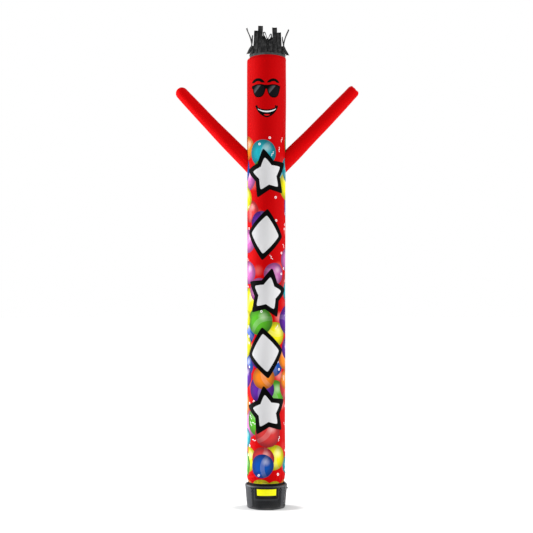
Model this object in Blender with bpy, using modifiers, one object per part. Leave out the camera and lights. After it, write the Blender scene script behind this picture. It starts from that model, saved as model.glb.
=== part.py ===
"""An inflatable air dancer standing on its blower, as solids at real size.

A cloth tube, held over the blower's outlet neck by a strap, is blown up into a man with two
raised arms, an open crown and hair of loose cloth strips. Metres, +Z up, the front faces -Y,
and the origin is on the floor at the middle of the blower's base.
"""

import math
from collections import namedtuple

import bmesh
import bpy
from mathutils import Matrix, Vector

# Cloth, and the space between any two pieces
CLOTH = 0.002
GAP = 0.0004
AROUND = 36
AROUND_ARM = 20

# Body tube
TUBE_RADIUS = 0.2280
HEAD_RADIUS = 0.2336
NECK_TO_HEAD = (3.60, 4.55)
TUBE_LEAN = 0.005
RUN_START = 0.56
RUN_END = 5.30
RUN_STEPS = 15
WOBBLE = 0.0012

# Crown
RIM_HEIGHT = 5.396
RIM_RADIUS = 0.2170
CROWN_SHIFT = 0.017
SIDE_DIP = 0.014
BAND_TUCK = 0.024
BAND_RISE = 0.040
BAND_THICK = 0.003
BAND_RADIUS = RIM_RADIUS - CLOTH - GAP
STRIP_WIDTH = 0.058
STRIP_TUCK = 0.012
STRIP_SET_IN = 0.0008

# Arms
ARM_ROOT_RADIUS = 0.0966
ARM_INNER_START = -0.11
ARM_SET_BACK = 0.020
ARM_STEPS = 12

# Blower
BASE_RADIUS = 0.2130
WALL_BOTTOM_RADIUS = 0.2278
WALL_TOP_RADIUS = 0.2518
WALL_TOP = 0.268
RIM_TOP = 0.284
RIM_INNER_RADIUS = 0.2300
CORNER = 0.016
DECK_TOP = 0.262
DECK_THICK = 0.004
NECK_RADIUS = 0.2098
NECK_WALL = 0.004
NECK_TOP = 0.336
CUFF_RADIUS = 0.2124

# Strap
STRAP_LOW = 0.280
STRAP_HIGH = 0.308
STRAP_THICK = 0.003
BUCKLE_WIDE = 0.030
BUCKLE_HIGH = 0.030
BUCKLE_THICK = 0.009
BUCKLE_BEARING = 84.0

# Label, bare, as spans in degrees round the wall, and the knob beside the rim
LABEL_BEARING = 1.4
LABEL_SPAN = 68.0
LABEL_LOW = 0.131
LABEL_HIGH = 0.264
LABEL_THICK = 0.002
PANEL_SPAN = 54.0
PANEL_LOW = 0.173
PANEL_HIGH = 0.249
PANEL_THICK = 0.0012
PLATE_STEPS = 14
KNOB_HEIGHT = 0.229
KNOB_RADIUS = 0.009
KNOB_REACH = 0.2625

# The cuff and the slack folds just above it: tilt lifts the right side and lowers the left one.
Fold = namedtuple("Fold", "height radius tilt")
BASE_FOLDS = (
    Fold(0.2680, CUFF_RADIUS, 0.000),
    Fold(0.2900, CUFF_RADIUS, 0.000),
    Fold(0.3120, CUFF_RADIUS, 0.000),
    Fold(0.3260, 0.2165, 0.000),
    Fold(0.3450, 0.2215, 0.004),
    Fold(0.3700, 0.2262, 0.012),
    Fold(0.3980, 0.2306, 0.020),
    Fold(0.4240, 0.2252, 0.026),
    Fold(0.4600, 0.2278, 0.022),
    Fold(0.5050, 0.2268, 0.010),
)

# The rounded shoulder, up to the hemmed rim that the crown's band is sewn into.
Shoulder = namedtuple("Shoulder", "drop radius shift")
SHOULDER = (
    Shoulder(0.062, 0.2336, 0.0050),
    Shoulder(0.041, 0.2328, 0.0060),
    Shoulder(0.024, 0.2292, 0.0100),
    Shoulder(0.013, 0.2236, 0.0140),
    Shoulder(0.007, RIM_RADIUS, CROWN_SHIFT),
    Shoulder(0.000, RIM_RADIUS, CROWN_SHIFT),
)

# One arm a row. Slope is above level, bow is the sag at mid length, square is a cuffed end.
Arm = namedtuple("Arm", "name side root_x root_z slope length tip_radius bow square")
ARMS = (
    Arm("arm_left", -1, 0.2285, 4.150, 46.1, 1.128, 0.0735, 0.007, False),
    Arm("arm_right", 1, 0.2330, 4.148, 45.9, 1.184, 0.0755, 0.005, True),
)

# The square end of a cuffed arm, past its last full ring: how far ahead, how high and wide as
# shares of the arm's radius, and how much farther the upper side reaches than the lower one.
CuffRing = namedtuple("CuffRing", "ahead high wide slant")
CUFF_END = (
    CuffRing(0.004, 1.00, 1.00, 0.006),
    CuffRing(0.013, 0.86, 0.92, 0.011),
    CuffRing(0.011, 0.56, 0.76, 0.012),
    CuffRing(0.005, 0.26, 0.62, 0.009),
)
TIP_STEPS = len(CUFF_END)

# One hair strip a row, angles in degrees. Bearing is from the front, positive to the right; lean
# is outward at the root, drift is along the rim, and turn twists the flat side from one share of
# the length to another; the strip then folds by bend, outward, again between two shares.
Strip = namedtuple(
    "Strip", "bearing length lean drift turn turn_from turn_to bend fold_from fold_to"
)
STRIPS = (
    Strip(-25, 0.315, -1, 1.5, 18, 0.0, 0.35, 3, 0.3, 1.0),
    Strip(25, 0.295, -2, -1, -18, 0.0, 0.35, 4, 0.3, 1.0),
    Strip(-43, 0.270, -3, 3, 24, 0.0, 0.35, 5, 0.3, 1.0),
    Strip(43, 0.247, -3, -3, -24, 0.0, 0.35, 6, 0.3, 1.0),
    Strip(-8, 0.350, 0, -5, 86, 0.33, 0.61, 162, 0.64, 0.73),
    Strip(8, 0.320, 0, 5, -86, 0.33, 0.61, 162, 0.64, 0.735),
    Strip(-61, 0.232, -10, 0, 12, 0.0, 0.35, 158, 0.38, 0.51),
    Strip(61, 0.236, -8, 0, -12, 0.0, 0.35, 158, 0.34, 0.47),
    Strip(-79, 0.342, -16, 0, 0, 0.0, 0.35, 37, 0.20, 0.60),
    Strip(79, 0.325, -15, 0, 0, 0.0, 0.35, 37, 0.20, 0.60),
    Strip(-100, 0.255, -11, 4, 0, 0.0, 0.35, 4, 0.3, 1.0),
    Strip(98, 0.235, -11, -2, 0, 0.0, 0.35, 4, 0.3, 1.0),
    Strip(-121, 0.110, -14, 0, 0, 0.0, 0.35, 10, 0.3, 1.0),
    Strip(121, 0.105, -12, 0, 0, 0.0, 0.35, 12, 0.3, 1.0),
    Strip(-142, 0.235, -2, 2, 0, 0.0, 0.35, 8, 0.3, 1.0),
    Strip(142, 0.225, -4, -2, 0, 0.0, 0.35, 12, 0.3, 1.0),
    Strip(-162, 0.232, 0, 0, 8, 0.0, 0.35, 22, 0.3, 1.0),
    Strip(162, 0.236, 0, 0, -8, 0.0, 0.35, 20, 0.3, 1.0),
    Strip(180, 0.228, -2, 0, 0, 0.0, 0.35, 10, 0.3, 1.0),
)
ROOT_ROWS = 4
TIP_ROWS = 2
FOLD_ROW_ANGLE = 30.0
TURN_ROW_ANGLE = 15.0


def smooth_step(value, low, high):
    """Eases from 0 at low to 1 at high."""
    t = min(1.0, max(0.0, (value - low) / (high - low)))
    return t * t * (3.0 - 2.0 * t)


def material(name, color, roughness, metallic=0.0):
    made = bpy.data.materials.new(name)
    made.use_nodes = True
    shader = made.node_tree.nodes["Principled BSDF"]
    shader.inputs["Base Color"].default_value = (*color, 1.0)
    shader.inputs["Roughness"].default_value = roughness
    shader.inputs["Metallic"].default_value = metallic
    return made


def add_object(name, mesh, paint, home):
    """Makes an object of a bmesh, which it frees, in its collection."""
    data = bpy.data.meshes.new(name)
    mesh.to_mesh(data)
    mesh.free()
    made = bpy.data.objects.new(name, data)
    home.objects.link(made)
    if paint is None:
        made.hide_render = True
        made.display_type = "WIRE"
    else:
        data.materials.append(paint)
        data.shade_smooth()
        data.set_sharp_from_angle(angle=math.radians(40.0))
    return made


def wrapped(around, along, place, closed=False):
    """Wraps a grid into a tube: place(u, v) gives the point, u round it and v along it."""
    mesh = bmesh.new()
    bmesh.ops.create_grid(mesh, x_segments=around, y_segments=along, size=0.5)
    for vert in mesh.verts:
        vert.co = place(vert.co.x + 0.5, vert.co.y + 0.5)
    bmesh.ops.remove_doubles(mesh, verts=mesh.verts, dist=0.00005)
    if closed:
        open_edges = [edge for edge in mesh.edges if edge.is_boundary]
        bmesh.ops.holes_fill(mesh, edges=open_edges, sides=0)
        bmesh.ops.recalc_face_normals(mesh, faces=mesh.faces)
    return mesh


def solidify(target, thickness, offset=-1.0):
    modifier = target.modifiers.new("thickness", "SOLIDIFY")
    modifier.thickness = thickness
    modifier.offset = offset
    modifier.use_even_offset = True
    return modifier


def boolean(target, tool, operation="DIFFERENCE"):
    modifier = target.modifiers.new(operation.lower(), "BOOLEAN")
    modifier.operation = operation
    modifier.solver = "EXACT"
    modifier.object = tool
    return modifier


def turned(name, profile, closed, paint, home):
    """Turns a profile, (radius, height) from the top of its outer side down, about Z."""
    mesh = bmesh.new()
    verts = [mesh.verts.new((radius, 0.0, height)) for radius, height in profile]
    for first, second in zip(verts, verts[1:]):
        mesh.edges.new((first, second))
    if closed:
        mesh.edges.new((verts[-1], verts[0]))
    made = add_object(name, mesh, paint, home)
    screw = made.modifiers.new("turn", "SCREW")
    screw.steps = AROUND
    screw.render_steps = AROUND
    screw.use_merge_vertices = True
    screw.merge_threshold = 0.00005
    screw.use_smooth_shade = False
    return made


def arc(radius, height, wide, high, start, end, steps):
    """Profile points round a corner from its middle, angles in degrees from outward."""
    points = []
    for step in range(steps + 1):
        angle = math.radians(start + (end - start) * step / steps)
        points.append((radius + wide * math.cos(angle), height + high * math.sin(angle)))
    return points


# Body tube


def tube_sections():
    """Every ring of the tube from the cuff to the rim: height, radius, shift, tilt, dip."""
    sections = [(fold.height, fold.radius, 0.0, fold.tilt, 0.0) for fold in BASE_FOLDS]
    for step in range(RUN_STEPS + 1):
        height = RUN_START + (RUN_END - RUN_START) * step / RUN_STEPS
        widen = smooth_step(height, *NECK_TO_HEAD)
        radius = TUBE_RADIUS + (HEAD_RADIUS - TUBE_RADIUS) * widen
        sections.append((height, radius, TUBE_LEAN * height / RUN_END, 0.0, 0.0))
    first_drop = SHOULDER[0].drop
    for ring in SHOULDER:
        dip = SIDE_DIP * (1.0 - ring.drop / first_drop)
        sections.append((RIM_HEIGHT - ring.drop, ring.radius, ring.shift, 0.0, dip))
    return sections


def tube_place(grow=0.0):
    """Gives the tube's outer surface, grown outward by a distance."""
    sections = tube_sections()

    def place(u, v):
        height, radius, shift, tilt, dip = sections[round(v * (len(sections) - 1))]
        angle = math.tau * u
        uneven = smooth_step(height, 0.33, 0.60) - smooth_step(height, 5.10, 5.34)
        radius += WOBBLE * uneven * math.sin(2.0 * angle + 4.1 * height)
        radius += 0.7 * WOBBLE * uneven * math.sin(3.0 * angle - 7.3 * height)
        height += tilt * math.cos(angle) - dip * math.cos(angle) ** 2
        return Vector(
            (shift + (radius + grow) * math.cos(angle), (radius + grow) * math.sin(angle), height)
        )

    return len(sections) - 1, place


def make_body(paint, home, tools):
    along, place = tube_place()
    body = add_object("body_tube", wrapped(AROUND, along, place), paint, home)
    solidify(body, CLOTH)
    for arm in ARMS:
        hole = wrapped(AROUND_ARM, ARM_STEPS, arm_place(arm, -CLOTH, 0.10), closed=True)
        boolean(body, add_object(arm.name + "_hole", hole, None, tools))
    return body


# Arms


def arm_place(arm, grow=0.0, end=None):
    """Gives an arm's outer surface, from inside the body to its tip, or to an end along it."""
    slope = math.radians(arm.slope)
    forward = Vector((arm.side * math.cos(slope), 0.0, math.sin(slope)))
    upward = Vector((-arm.side * math.sin(slope), 0.0, math.cos(slope)))
    sideways = Vector((0.0, -arm.side, 0.0))
    root = Vector((arm.side * arm.root_x, ARM_SET_BACK, arm.root_z))

    def ring(s):
        """Centre and radius at a distance from the root."""
        t = s / arm.length
        sag = arm.bow * 4.0 * t * (1.0 - t)
        slack = 0.0010 * math.sin(9.0 * s + arm.side)
        radius = ARM_ROOT_RADIUS + (arm.tip_radius - ARM_ROOT_RADIUS) * t + slack
        return root + forward * s - upward * sag, radius + grow

    def place(u, v):
        angle = math.tau * u
        across = upward * math.cos(angle) + sideways * math.sin(angle)
        if end is not None:
            center, radius = ring(ARM_INNER_START + (end - ARM_INNER_START) * v)
            return center + across * radius
        step = round(v * (ARM_STEPS + TIP_STEPS))
        if step <= ARM_STEPS:
            s = ARM_INNER_START + (arm.length - ARM_INNER_START) * step / ARM_STEPS
            center, radius = ring(s)
            return center + across * radius
        center, radius = ring(arm.length)
        if arm.square:
            cuff = CUFF_END[step - ARM_STEPS - 1]
            slant = cuff.slant * math.cos(angle)
            flat = upward * math.cos(angle) * cuff.high + sideways * math.sin(angle) * cuff.wide
            return center + forward * (cuff.ahead + slant) + flat * radius
        turn = 0.5 * math.pi * (step - ARM_STEPS) / TIP_STEPS
        return center + forward * radius * math.sin(turn) + across * radius * math.cos(turn)

    return place


def make_arm(arm, paint, home, tools, bulk):
    """A sleeve open at its root, cut to the body's wall, which it is sewn to."""
    mesh = wrapped(AROUND_ARM, ARM_STEPS + TIP_STEPS, arm_place(arm))
    made = add_object(arm.name, mesh, paint, home)
    solidify(made, CLOTH)
    boolean(made, bulk)
    return made


# Crown and hair


def band_place(u, v):
    """The band's outer surface, from its tuck inside the rim to its free edge."""
    angle = math.tau * u
    radius = BAND_RADIUS
    low = RIM_HEIGHT - BAND_TUCK
    height = low + (BAND_TUCK + BAND_RISE) * v - SIDE_DIP * math.cos(angle) ** 2
    return Vector((CROWN_SHIFT + radius * math.cos(angle), radius * math.sin(angle), height))


def strip_shares(strip):
    """Where a strip's rows lie along it: most of them in its twist and in its fold."""
    folds = max(1, math.ceil(abs(strip.bend) / FOLD_ROW_ANGLE))
    turns = max(ROOT_ROWS, math.ceil(abs(strip.turn) / TURN_ROW_ANGLE))
    shares = [strip.fold_from * row / turns for row in range(turns)]
    width = strip.fold_to - strip.fold_from
    shares += [strip.fold_from + width * row / folds for row in range(folds)]
    shares += [strip.fold_to + (1.0 - strip.fold_to) * row / TIP_ROWS for row in range(TIP_ROWS)]
    return sorted(set(shares)) + [1.0]


def strip_rows(strip):
    """A strip's rows, each a middle point and the direction across."""
    angle = math.radians(strip.bearing - 90.0)
    outward = Vector((math.cos(angle), math.sin(angle), 0.0))
    along_rim = Vector((-math.sin(angle), math.cos(angle), 0.0))
    radius = BAND_RADIUS - 0.5 * BAND_THICK - STRIP_SET_IN
    base = RIM_HEIGHT + BAND_RISE - STRIP_TUCK - SIDE_DIP * math.cos(angle) ** 2
    point = Vector((CROWN_SHIFT, 0.0, base)) + outward * radius
    upright = Vector((0.0, 0.0, 1.0))
    upright.rotate(Matrix.Rotation(math.radians(-strip.drift), 3, outward))
    upright.rotate(Matrix.Rotation(math.radians(strip.lean), 3, along_rim))
    rows = []
    last = 0.0
    for share in strip_shares(strip):
        twist = math.radians(strip.turn) * smooth_step(share, strip.turn_from, strip.turn_to)
        across = along_rim.copy()
        across.rotate(Matrix.Rotation(twist, 3, upright))
        across = (across - upright * across.dot(upright)).normalized()
        middle = 0.5 * (share + last)
        folded = (middle - strip.fold_from) / (strip.fold_to - strip.fold_from)
        heading = upright.copy()
        fold = math.radians(strip.bend) * min(1.0, max(0.0, folded))
        heading.rotate(Matrix.Rotation(fold, 3, across))
        point = point + heading * (share - last) * strip.length
        rows.append((point, across))
        last = share
    return rows


def make_hair(paint, home, tools):
    """The crown's band with its strips fused into its free edge."""
    hair = add_object("hair_crown", wrapped(AROUND, 1, band_place), paint, home)
    solidify(hair, BAND_THICK)
    for number, strip in enumerate(STRIPS):
        rows = strip_rows(strip)
        ribbon = bmesh.new()
        bmesh.ops.create_grid(ribbon, x_segments=1, y_segments=len(rows) - 1, size=0.5)
        for vert in ribbon.verts:
            point, across = rows[round((vert.co.y + 0.5) * (len(rows) - 1))]
            vert.co = point + across * vert.co.x * STRIP_WIDTH
        tool = add_object("strip_%02d" % number, ribbon, None, tools)
        solidify(tool, CLOTH, 0.0)
        boolean(hair, tool, "UNION")
    return hair


# Blower and what is fixed to it


def wall_radius(height):
    """Outer radius of the blower's tapered wall."""
    return WALL_BOTTOM_RADIUS + (WALL_TOP_RADIUS - WALL_BOTTOM_RADIUS) * height / WALL_TOP


def make_housing(paint, home):
    """A tapered tub with a rolled rim around the sunken deck."""
    floor = DECK_TOP - DECK_THICK - GAP
    roll = RIM_TOP - WALL_TOP
    profile = [(0.0, floor), (RIM_INNER_RADIUS, floor), (RIM_INNER_RADIUS, RIM_TOP - 0.003)]
    profile += [(RIM_INNER_RADIUS + 0.003, RIM_TOP)]
    crest = WALL_TOP_RADIUS - 0.5 * roll
    profile += arc(crest, WALL_TOP, 0.5 * roll, roll, 80.0, 0.0, 4)
    corner = wall_radius(CORNER) - CORNER
    profile += arc(corner, CORNER, CORNER, CORNER, 0.0, -60.0, 3)
    profile += [(BASE_RADIUS, 0.0), (0.0, 0.0)]
    return turned("blower_housing", profile, False, paint, home)


def make_deck(paint, home):
    """The deck that closes the tub, with the outlet neck that the cuff is strapped to."""
    low = DECK_TOP - DECK_THICK
    outer = RIM_INNER_RADIUS - GAP
    inner = NECK_RADIUS - NECK_WALL
    profile = [
        (inner, NECK_TOP),
        (NECK_RADIUS, NECK_TOP),
        (NECK_RADIUS, DECK_TOP),
        (outer, DECK_TOP),
        (outer, low),
        (inner, low),
    ]
    return turned("outlet_deck", profile, True, paint, home)


def make_strap(paint, home):
    inner = CUFF_RADIUS + GAP
    outer = inner + STRAP_THICK
    profile = [(inner, STRAP_HIGH), (outer, STRAP_HIGH), (outer, STRAP_LOW), (inner, STRAP_LOW)]
    return turned("base_strap", profile, True, paint, home)


def make_buckle(paint, home):
    """A rounded block over the strap's joined ends."""
    mesh = bmesh.new()
    bmesh.ops.create_cube(mesh, size=1.0)
    bmesh.ops.scale(mesh, vec=(BUCKLE_THICK, BUCKLE_WIDE, BUCKLE_HIGH), verts=mesh.verts)
    made = add_object("strap_buckle", mesh, paint, home)
    bearing = math.radians(BUCKLE_BEARING - 90.0)
    inner = CUFF_RADIUS + GAP + STRAP_THICK + GAP
    middle = inner + 0.5 * BUCKLE_THICK
    height = 0.5 * (STRAP_LOW + STRAP_HIGH)
    made.location = (middle * math.cos(bearing), middle * math.sin(bearing), height)
    made.rotation_euler = (0.0, 0.0, bearing)
    bevel = made.modifiers.new("edges", "BEVEL")
    bevel.width = 0.0025
    bevel.segments = 2
    return made


def wall_plate(name, span, low, high, lift, thick, paint, home):
    """A thin plate bent round the front of the tapered wall, lifted off it."""

    def place(u, v):
        height = low + (high - low) * v
        radius = wall_radius(height) + lift + thick
        angle = math.radians(LABEL_BEARING - 90.0 + (u - 0.5) * span)
        return Vector((radius * math.cos(angle), radius * math.sin(angle), height))

    made = add_object(name, wrapped(PLATE_STEPS, 1, place), paint, home)
    solidify(made, thick)
    return made


def make_knob(paint, home):
    """A round knob that stands out of the wall at the right, below the rim."""
    mesh = bmesh.new()
    start = wall_radius(KNOB_HEIGHT + KNOB_RADIUS) + GAP
    length = KNOB_REACH - start
    bmesh.ops.create_cone(
        mesh,
        cap_ends=True,
        segments=16,
        radius1=KNOB_RADIUS,
        radius2=KNOB_RADIUS,
        depth=length,
    )
    made = add_object("side_knob", mesh, paint, home)
    made.location = (start + 0.5 * length, 0.0, KNOB_HEIGHT)
    made.rotation_euler = (0.0, 0.5 * math.pi, 0.0)
    bevel = made.modifiers.new("edges", "BEVEL")
    bevel.width = 0.002
    bevel.segments = 2
    bevel.limit_method = "ANGLE"
    return made


def collection(name):
    made = bpy.data.collections.new(name)
    bpy.context.scene.collection.children.link(made)
    return made


def main():
    for old in list(bpy.data.objects):
        bpy.data.objects.remove(old)
    home = collection("air_dancer")
    tools = collection("cutters")

    red = material("red_cloth", (0.60, 0.005, 0.012), 0.75)
    black = material("black_cloth", (0.018, 0.018, 0.020), 0.85)
    webbing = material("black_webbing", (0.012, 0.012, 0.013), 0.80)
    shell = material("black_shell", (0.020, 0.020, 0.024), 0.45)
    label = material("black_label", (0.008, 0.008, 0.010), 0.40)
    yellow = material("yellow_panel", (0.90, 0.80, 0.0), 0.45)

    along, bulk_place = tube_place(GAP)
    bulk = add_object("body_bulk", wrapped(AROUND, along, bulk_place, closed=True), None, tools)

    make_body(red, home, tools)
    for arm in ARMS:
        make_arm(arm, red, home, tools, bulk)
    make_hair(black, home, tools)
    make_strap(webbing, home)
    make_buckle(webbing, home)
    make_housing(shell, home)
    make_deck(shell, home)
    wall_plate(
        "label_plate", LABEL_SPAN, LABEL_LOW, LABEL_HIGH, GAP, LABEL_THICK, label, home
    )
    on_label = 2.0 * GAP + LABEL_THICK
    wall_plate(
        "label_panel", PANEL_SPAN, PANEL_LOW, PANEL_HIGH, on_label, PANEL_THICK, yellow, home
    )
    make_knob(shell, home)


main()
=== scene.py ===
"""The looks of an inflatable air dancer on its blower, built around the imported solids.

It is laid out as an add-on and run as a script. Each operator makes one piece or group of
pieces in metres, +Z up, with the front facing -Y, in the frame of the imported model.
"""

import math
import random
from collections import namedtuple

import bmesh
import bpy
from mathutils import Matrix, Vector, noise


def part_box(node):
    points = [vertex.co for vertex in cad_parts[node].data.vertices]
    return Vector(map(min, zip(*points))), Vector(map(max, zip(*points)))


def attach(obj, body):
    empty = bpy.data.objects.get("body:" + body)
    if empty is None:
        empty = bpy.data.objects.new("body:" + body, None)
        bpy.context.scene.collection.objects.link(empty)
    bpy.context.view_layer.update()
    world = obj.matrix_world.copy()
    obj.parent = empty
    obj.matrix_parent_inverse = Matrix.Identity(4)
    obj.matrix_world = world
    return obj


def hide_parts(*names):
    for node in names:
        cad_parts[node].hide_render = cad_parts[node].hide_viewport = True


bl_info = {
    "name": "Air Dancer Looks",
    "version": (1, 0, 0),
    "blender": (4, 5, 0),
    "location": "3D View > Sidebar > Air Dancer",
    "description": "Dresses the packed air dancer in cloth, print, hair, strap, blower and stage",
    "category": "Add Mesh",
}

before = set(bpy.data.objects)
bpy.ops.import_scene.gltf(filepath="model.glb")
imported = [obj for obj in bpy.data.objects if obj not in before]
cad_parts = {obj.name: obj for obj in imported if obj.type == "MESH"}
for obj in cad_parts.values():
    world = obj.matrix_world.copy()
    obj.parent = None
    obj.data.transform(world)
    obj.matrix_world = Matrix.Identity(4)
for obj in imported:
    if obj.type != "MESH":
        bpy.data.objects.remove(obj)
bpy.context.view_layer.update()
BODY = "root"

# Cloth, as the solids have it
CLOTH = 0.002
TUBE_RADIUS = 0.2280
HEAD_RADIUS = 0.2336
NECK_TO_HEAD = (3.60, 4.55)
TUBE_LEAN = 0.005
RUN_START = 0.56
RUN_END = 5.30
RUN_STEPS = 15
WOBBLE = 0.0012
CUFF_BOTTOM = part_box("body_tube")[0].z
CUFF_RADIUS = 0.2124

# Crown, as the solids have it
RIM_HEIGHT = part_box("body_tube")[1].z
RIM_RADIUS = 0.2170
CROWN_SHIFT = 0.017
SIDE_DIP = 0.014
BAND_TUCK = 0.024
BAND_RISE = 0.040
BAND_RADIUS = RIM_RADIUS - CLOTH - 0.0004
STRIP_WIDTH = 0.058
STRIP_TUCK = 0.012
STRIP_SET_OUT = 0.0012

# Arms, as the solids have them
ARM_ROOT_RADIUS = 0.0966
ARM_SET_BACK = 0.020

# Blower, as the solids have it
BASE_RADIUS = 0.2130
WALL_BOTTOM_RADIUS = 0.2278
WALL_TOP_RADIUS = 0.2518
WALL_TOP = 0.268
RIM_TOP = 0.284
RIM_INNER_RADIUS = 0.2300
CORNER = 0.016
DECK_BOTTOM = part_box("outlet_deck")[0].z
STRAP_LOW, STRAP_HIGH = (corner.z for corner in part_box("base_strap"))
STRAP_RADIUS = 0.2128
LABEL_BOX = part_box("label_plate")
LABEL_BEARING = 1.4
LABEL_HALF_SPAN = 34.0

# How finely the pieces are made
AROUND_BODY = 120
ROWS_BASE = 5
ROWS_RUN = 12
ROWS_SHOULDER = 4
AROUND_ARM = 48
ROWS_ARM = 110
AROUND_RING = 144
ROWS_BAND = 12
ROWS_STRAP = 4
TAIL_GRID = (6, 24)
HAIR_COLUMNS = 8
HAIR_ROWS = 40
TURN_STEPS = 96
DRUM_STEPS = 64
MERGE = 0.00002

# Small relief of the cloth: depths and reaches in metres, how many times a pattern goes round,
# and between which heights it comes in or fades out
UNEVEN_DEPTH = 0.0011
UNEVEN_IN = (0.33, 0.60)
UNEVEN_OUT = (5.10, 5.34)
PLEAT_DEPTH = 0.0026
PLEATS = 31.0
PLEATS_IN = (0.308, 0.335)
PLEATS_OUT = (0.36, 0.46)
GATHER_DEPTH = 0.0009
GATHERS = 44.0
GATHERS_IN = (RIM_HEIGHT - 0.060, RIM_HEIGHT - 0.020)
GATHERS_OUT = (RIM_HEIGHT - 0.010, RIM_HEIGHT - 0.004)
PUCKER_DEPTH = 0.0016
PUCKERS = 15.0
PUCKER_REACH = 0.09
TIP_REACH = 0.16
ARM_UNEVEN_DEPTH = 0.0028
ARM_PULL_DEPTH = 0.0022
ROUND_TIP_CRUMPLE = 0.0012
SQUARE_TIP_CRUMPLE = 0.0060
BAND_SLACK = 0.0020
BAND_WAVE = 0.0012
STRIP_WAVE = 0.0022
STRIP_CRUMPLE = 0.0020

# The cuff and the slack folds just above it: tilt lifts the right side and lowers the left one.
Fold = namedtuple("Fold", "height radius tilt")
BASE_FOLDS = (
    Fold(0.2680, CUFF_RADIUS, 0.000),
    Fold(0.2900, CUFF_RADIUS, 0.000),
    Fold(0.3120, CUFF_RADIUS, 0.000),
    Fold(0.3260, 0.2165, 0.000),
    Fold(0.3450, 0.2215, 0.004),
    Fold(0.3700, 0.2262, 0.012),
    Fold(0.3980, 0.2306, 0.020),
    Fold(0.4240, 0.2252, 0.026),
    Fold(0.4600, 0.2278, 0.022),
    Fold(0.5050, 0.2268, 0.010),
)

# The rounded shoulder, up to the hemmed rim that the crown's band is sewn into.
Shoulder = namedtuple("Shoulder", "drop radius shift")
SHOULDER = (
    Shoulder(0.062, 0.2336, 0.0050),
    Shoulder(0.041, 0.2328, 0.0060),
    Shoulder(0.024, 0.2292, 0.0100),
    Shoulder(0.013, 0.2236, 0.0140),
    Shoulder(0.007, RIM_RADIUS, CROWN_SHIFT),
    Shoulder(0.000, RIM_RADIUS, CROWN_SHIFT),
)

# Soft troughs and ridges in the body's cloth, placed one by one. Bearing is from the front in
# degrees, positive to the right; turn lifts the right end; depth is inward, in metres. Beside
# each trough the cloth rises in two ridges: their share of its depth, and their place in widths.
RIDGE_SHARE = 0.45
RIDGE_PLACE = 1.9
Crease = namedtuple("Crease", "bearing height turn length width depth")
BODY_CREASES = (
    Crease(-30, 0.432, 14, 0.42, 0.013, 0.0042),
    Crease(38, 0.452, -8, 0.30, 0.012, 0.0030),
    Crease(-78, 0.395, 8, 0.22, 0.010, 0.0044),
    Crease(84, 0.420, -12, 0.24, 0.011, 0.0036),
    Crease(150, 0.440, 10, 0.40, 0.013, 0.0036),
    Crease(-140, 0.425, -12, 0.34, 0.012, 0.0036),
    Crease(10, 0.385, -6, 0.26, 0.010, 0.0024),
    Crease(-58, 4.020, 62, 0.34, 0.016, 0.0022),
    Crease(-66, 4.305, -58, 0.30, 0.016, 0.0024),
    Crease(62, 4.000, -60, 0.34, 0.016, 0.0022),
    Crease(66, 4.330, 60, 0.30, 0.016, 0.0024),
    Crease(-120, 4.060, -58, 0.34, 0.016, 0.0022),
    Crease(122, 4.060, 56, 0.34, 0.016, 0.0022),
    Crease(-22, 1.420, 78, 0.90, 0.030, 0.0010),
    Crease(34, 2.300, 84, 1.10, 0.030, 0.0010),
    Crease(-8, 3.340, 82, 0.90, 0.030, 0.0009),
    Crease(12, 0.800, 76, 0.60, 0.026, 0.0011),
)

# One arm a row. Slope is above level, bow is the sag at mid length, square is a cuffed end.
Arm = namedtuple("Arm", "name node side root_x root_z slope length tip_radius bow square")
ARMS = (
    Arm("arm_cloth_left", "arm_left", -1, 0.2285, 4.150, 46.1, 1.128, 0.0735, 0.007, False),
    Arm("arm_cloth_right", "arm_right", 1, 0.2330, 4.148, 45.9, 1.184, 0.0755, 0.005, True),
)

# The square end of a cuffed arm, past its last full ring: how far ahead, and how high and wide
# as shares of the arm's radius. The front lip lies back a little, so the slit shows.
CuffRing = namedtuple("CuffRing", "ahead high wide")
CUFF_END = (
    CuffRing(0.000, 1.00, 1.00),
    CuffRing(0.014, 0.97, 0.98),
    CuffRing(0.030, 0.87, 0.93),
    CuffRing(0.041, 0.73, 0.84),
    CuffRing(0.044, 0.60, 0.72),
    CuffRing(0.040, 0.44, 0.58),
    CuffRing(0.030, 0.20, 0.44),
)
CUFF_BACK = 0.020
CUFF_LIP = 0.010
TIP_SHARE = 0.86

# Where the seam round an arm's root is looked for, in metres along the arm, in how many steps,
# and how far the arm's edge sinks into the body's cloth there
SEAM_BETWEEN = (-0.12, 0.30)
SEAM_STEPS = 30
SEAM_SINK = 0.0008

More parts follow.
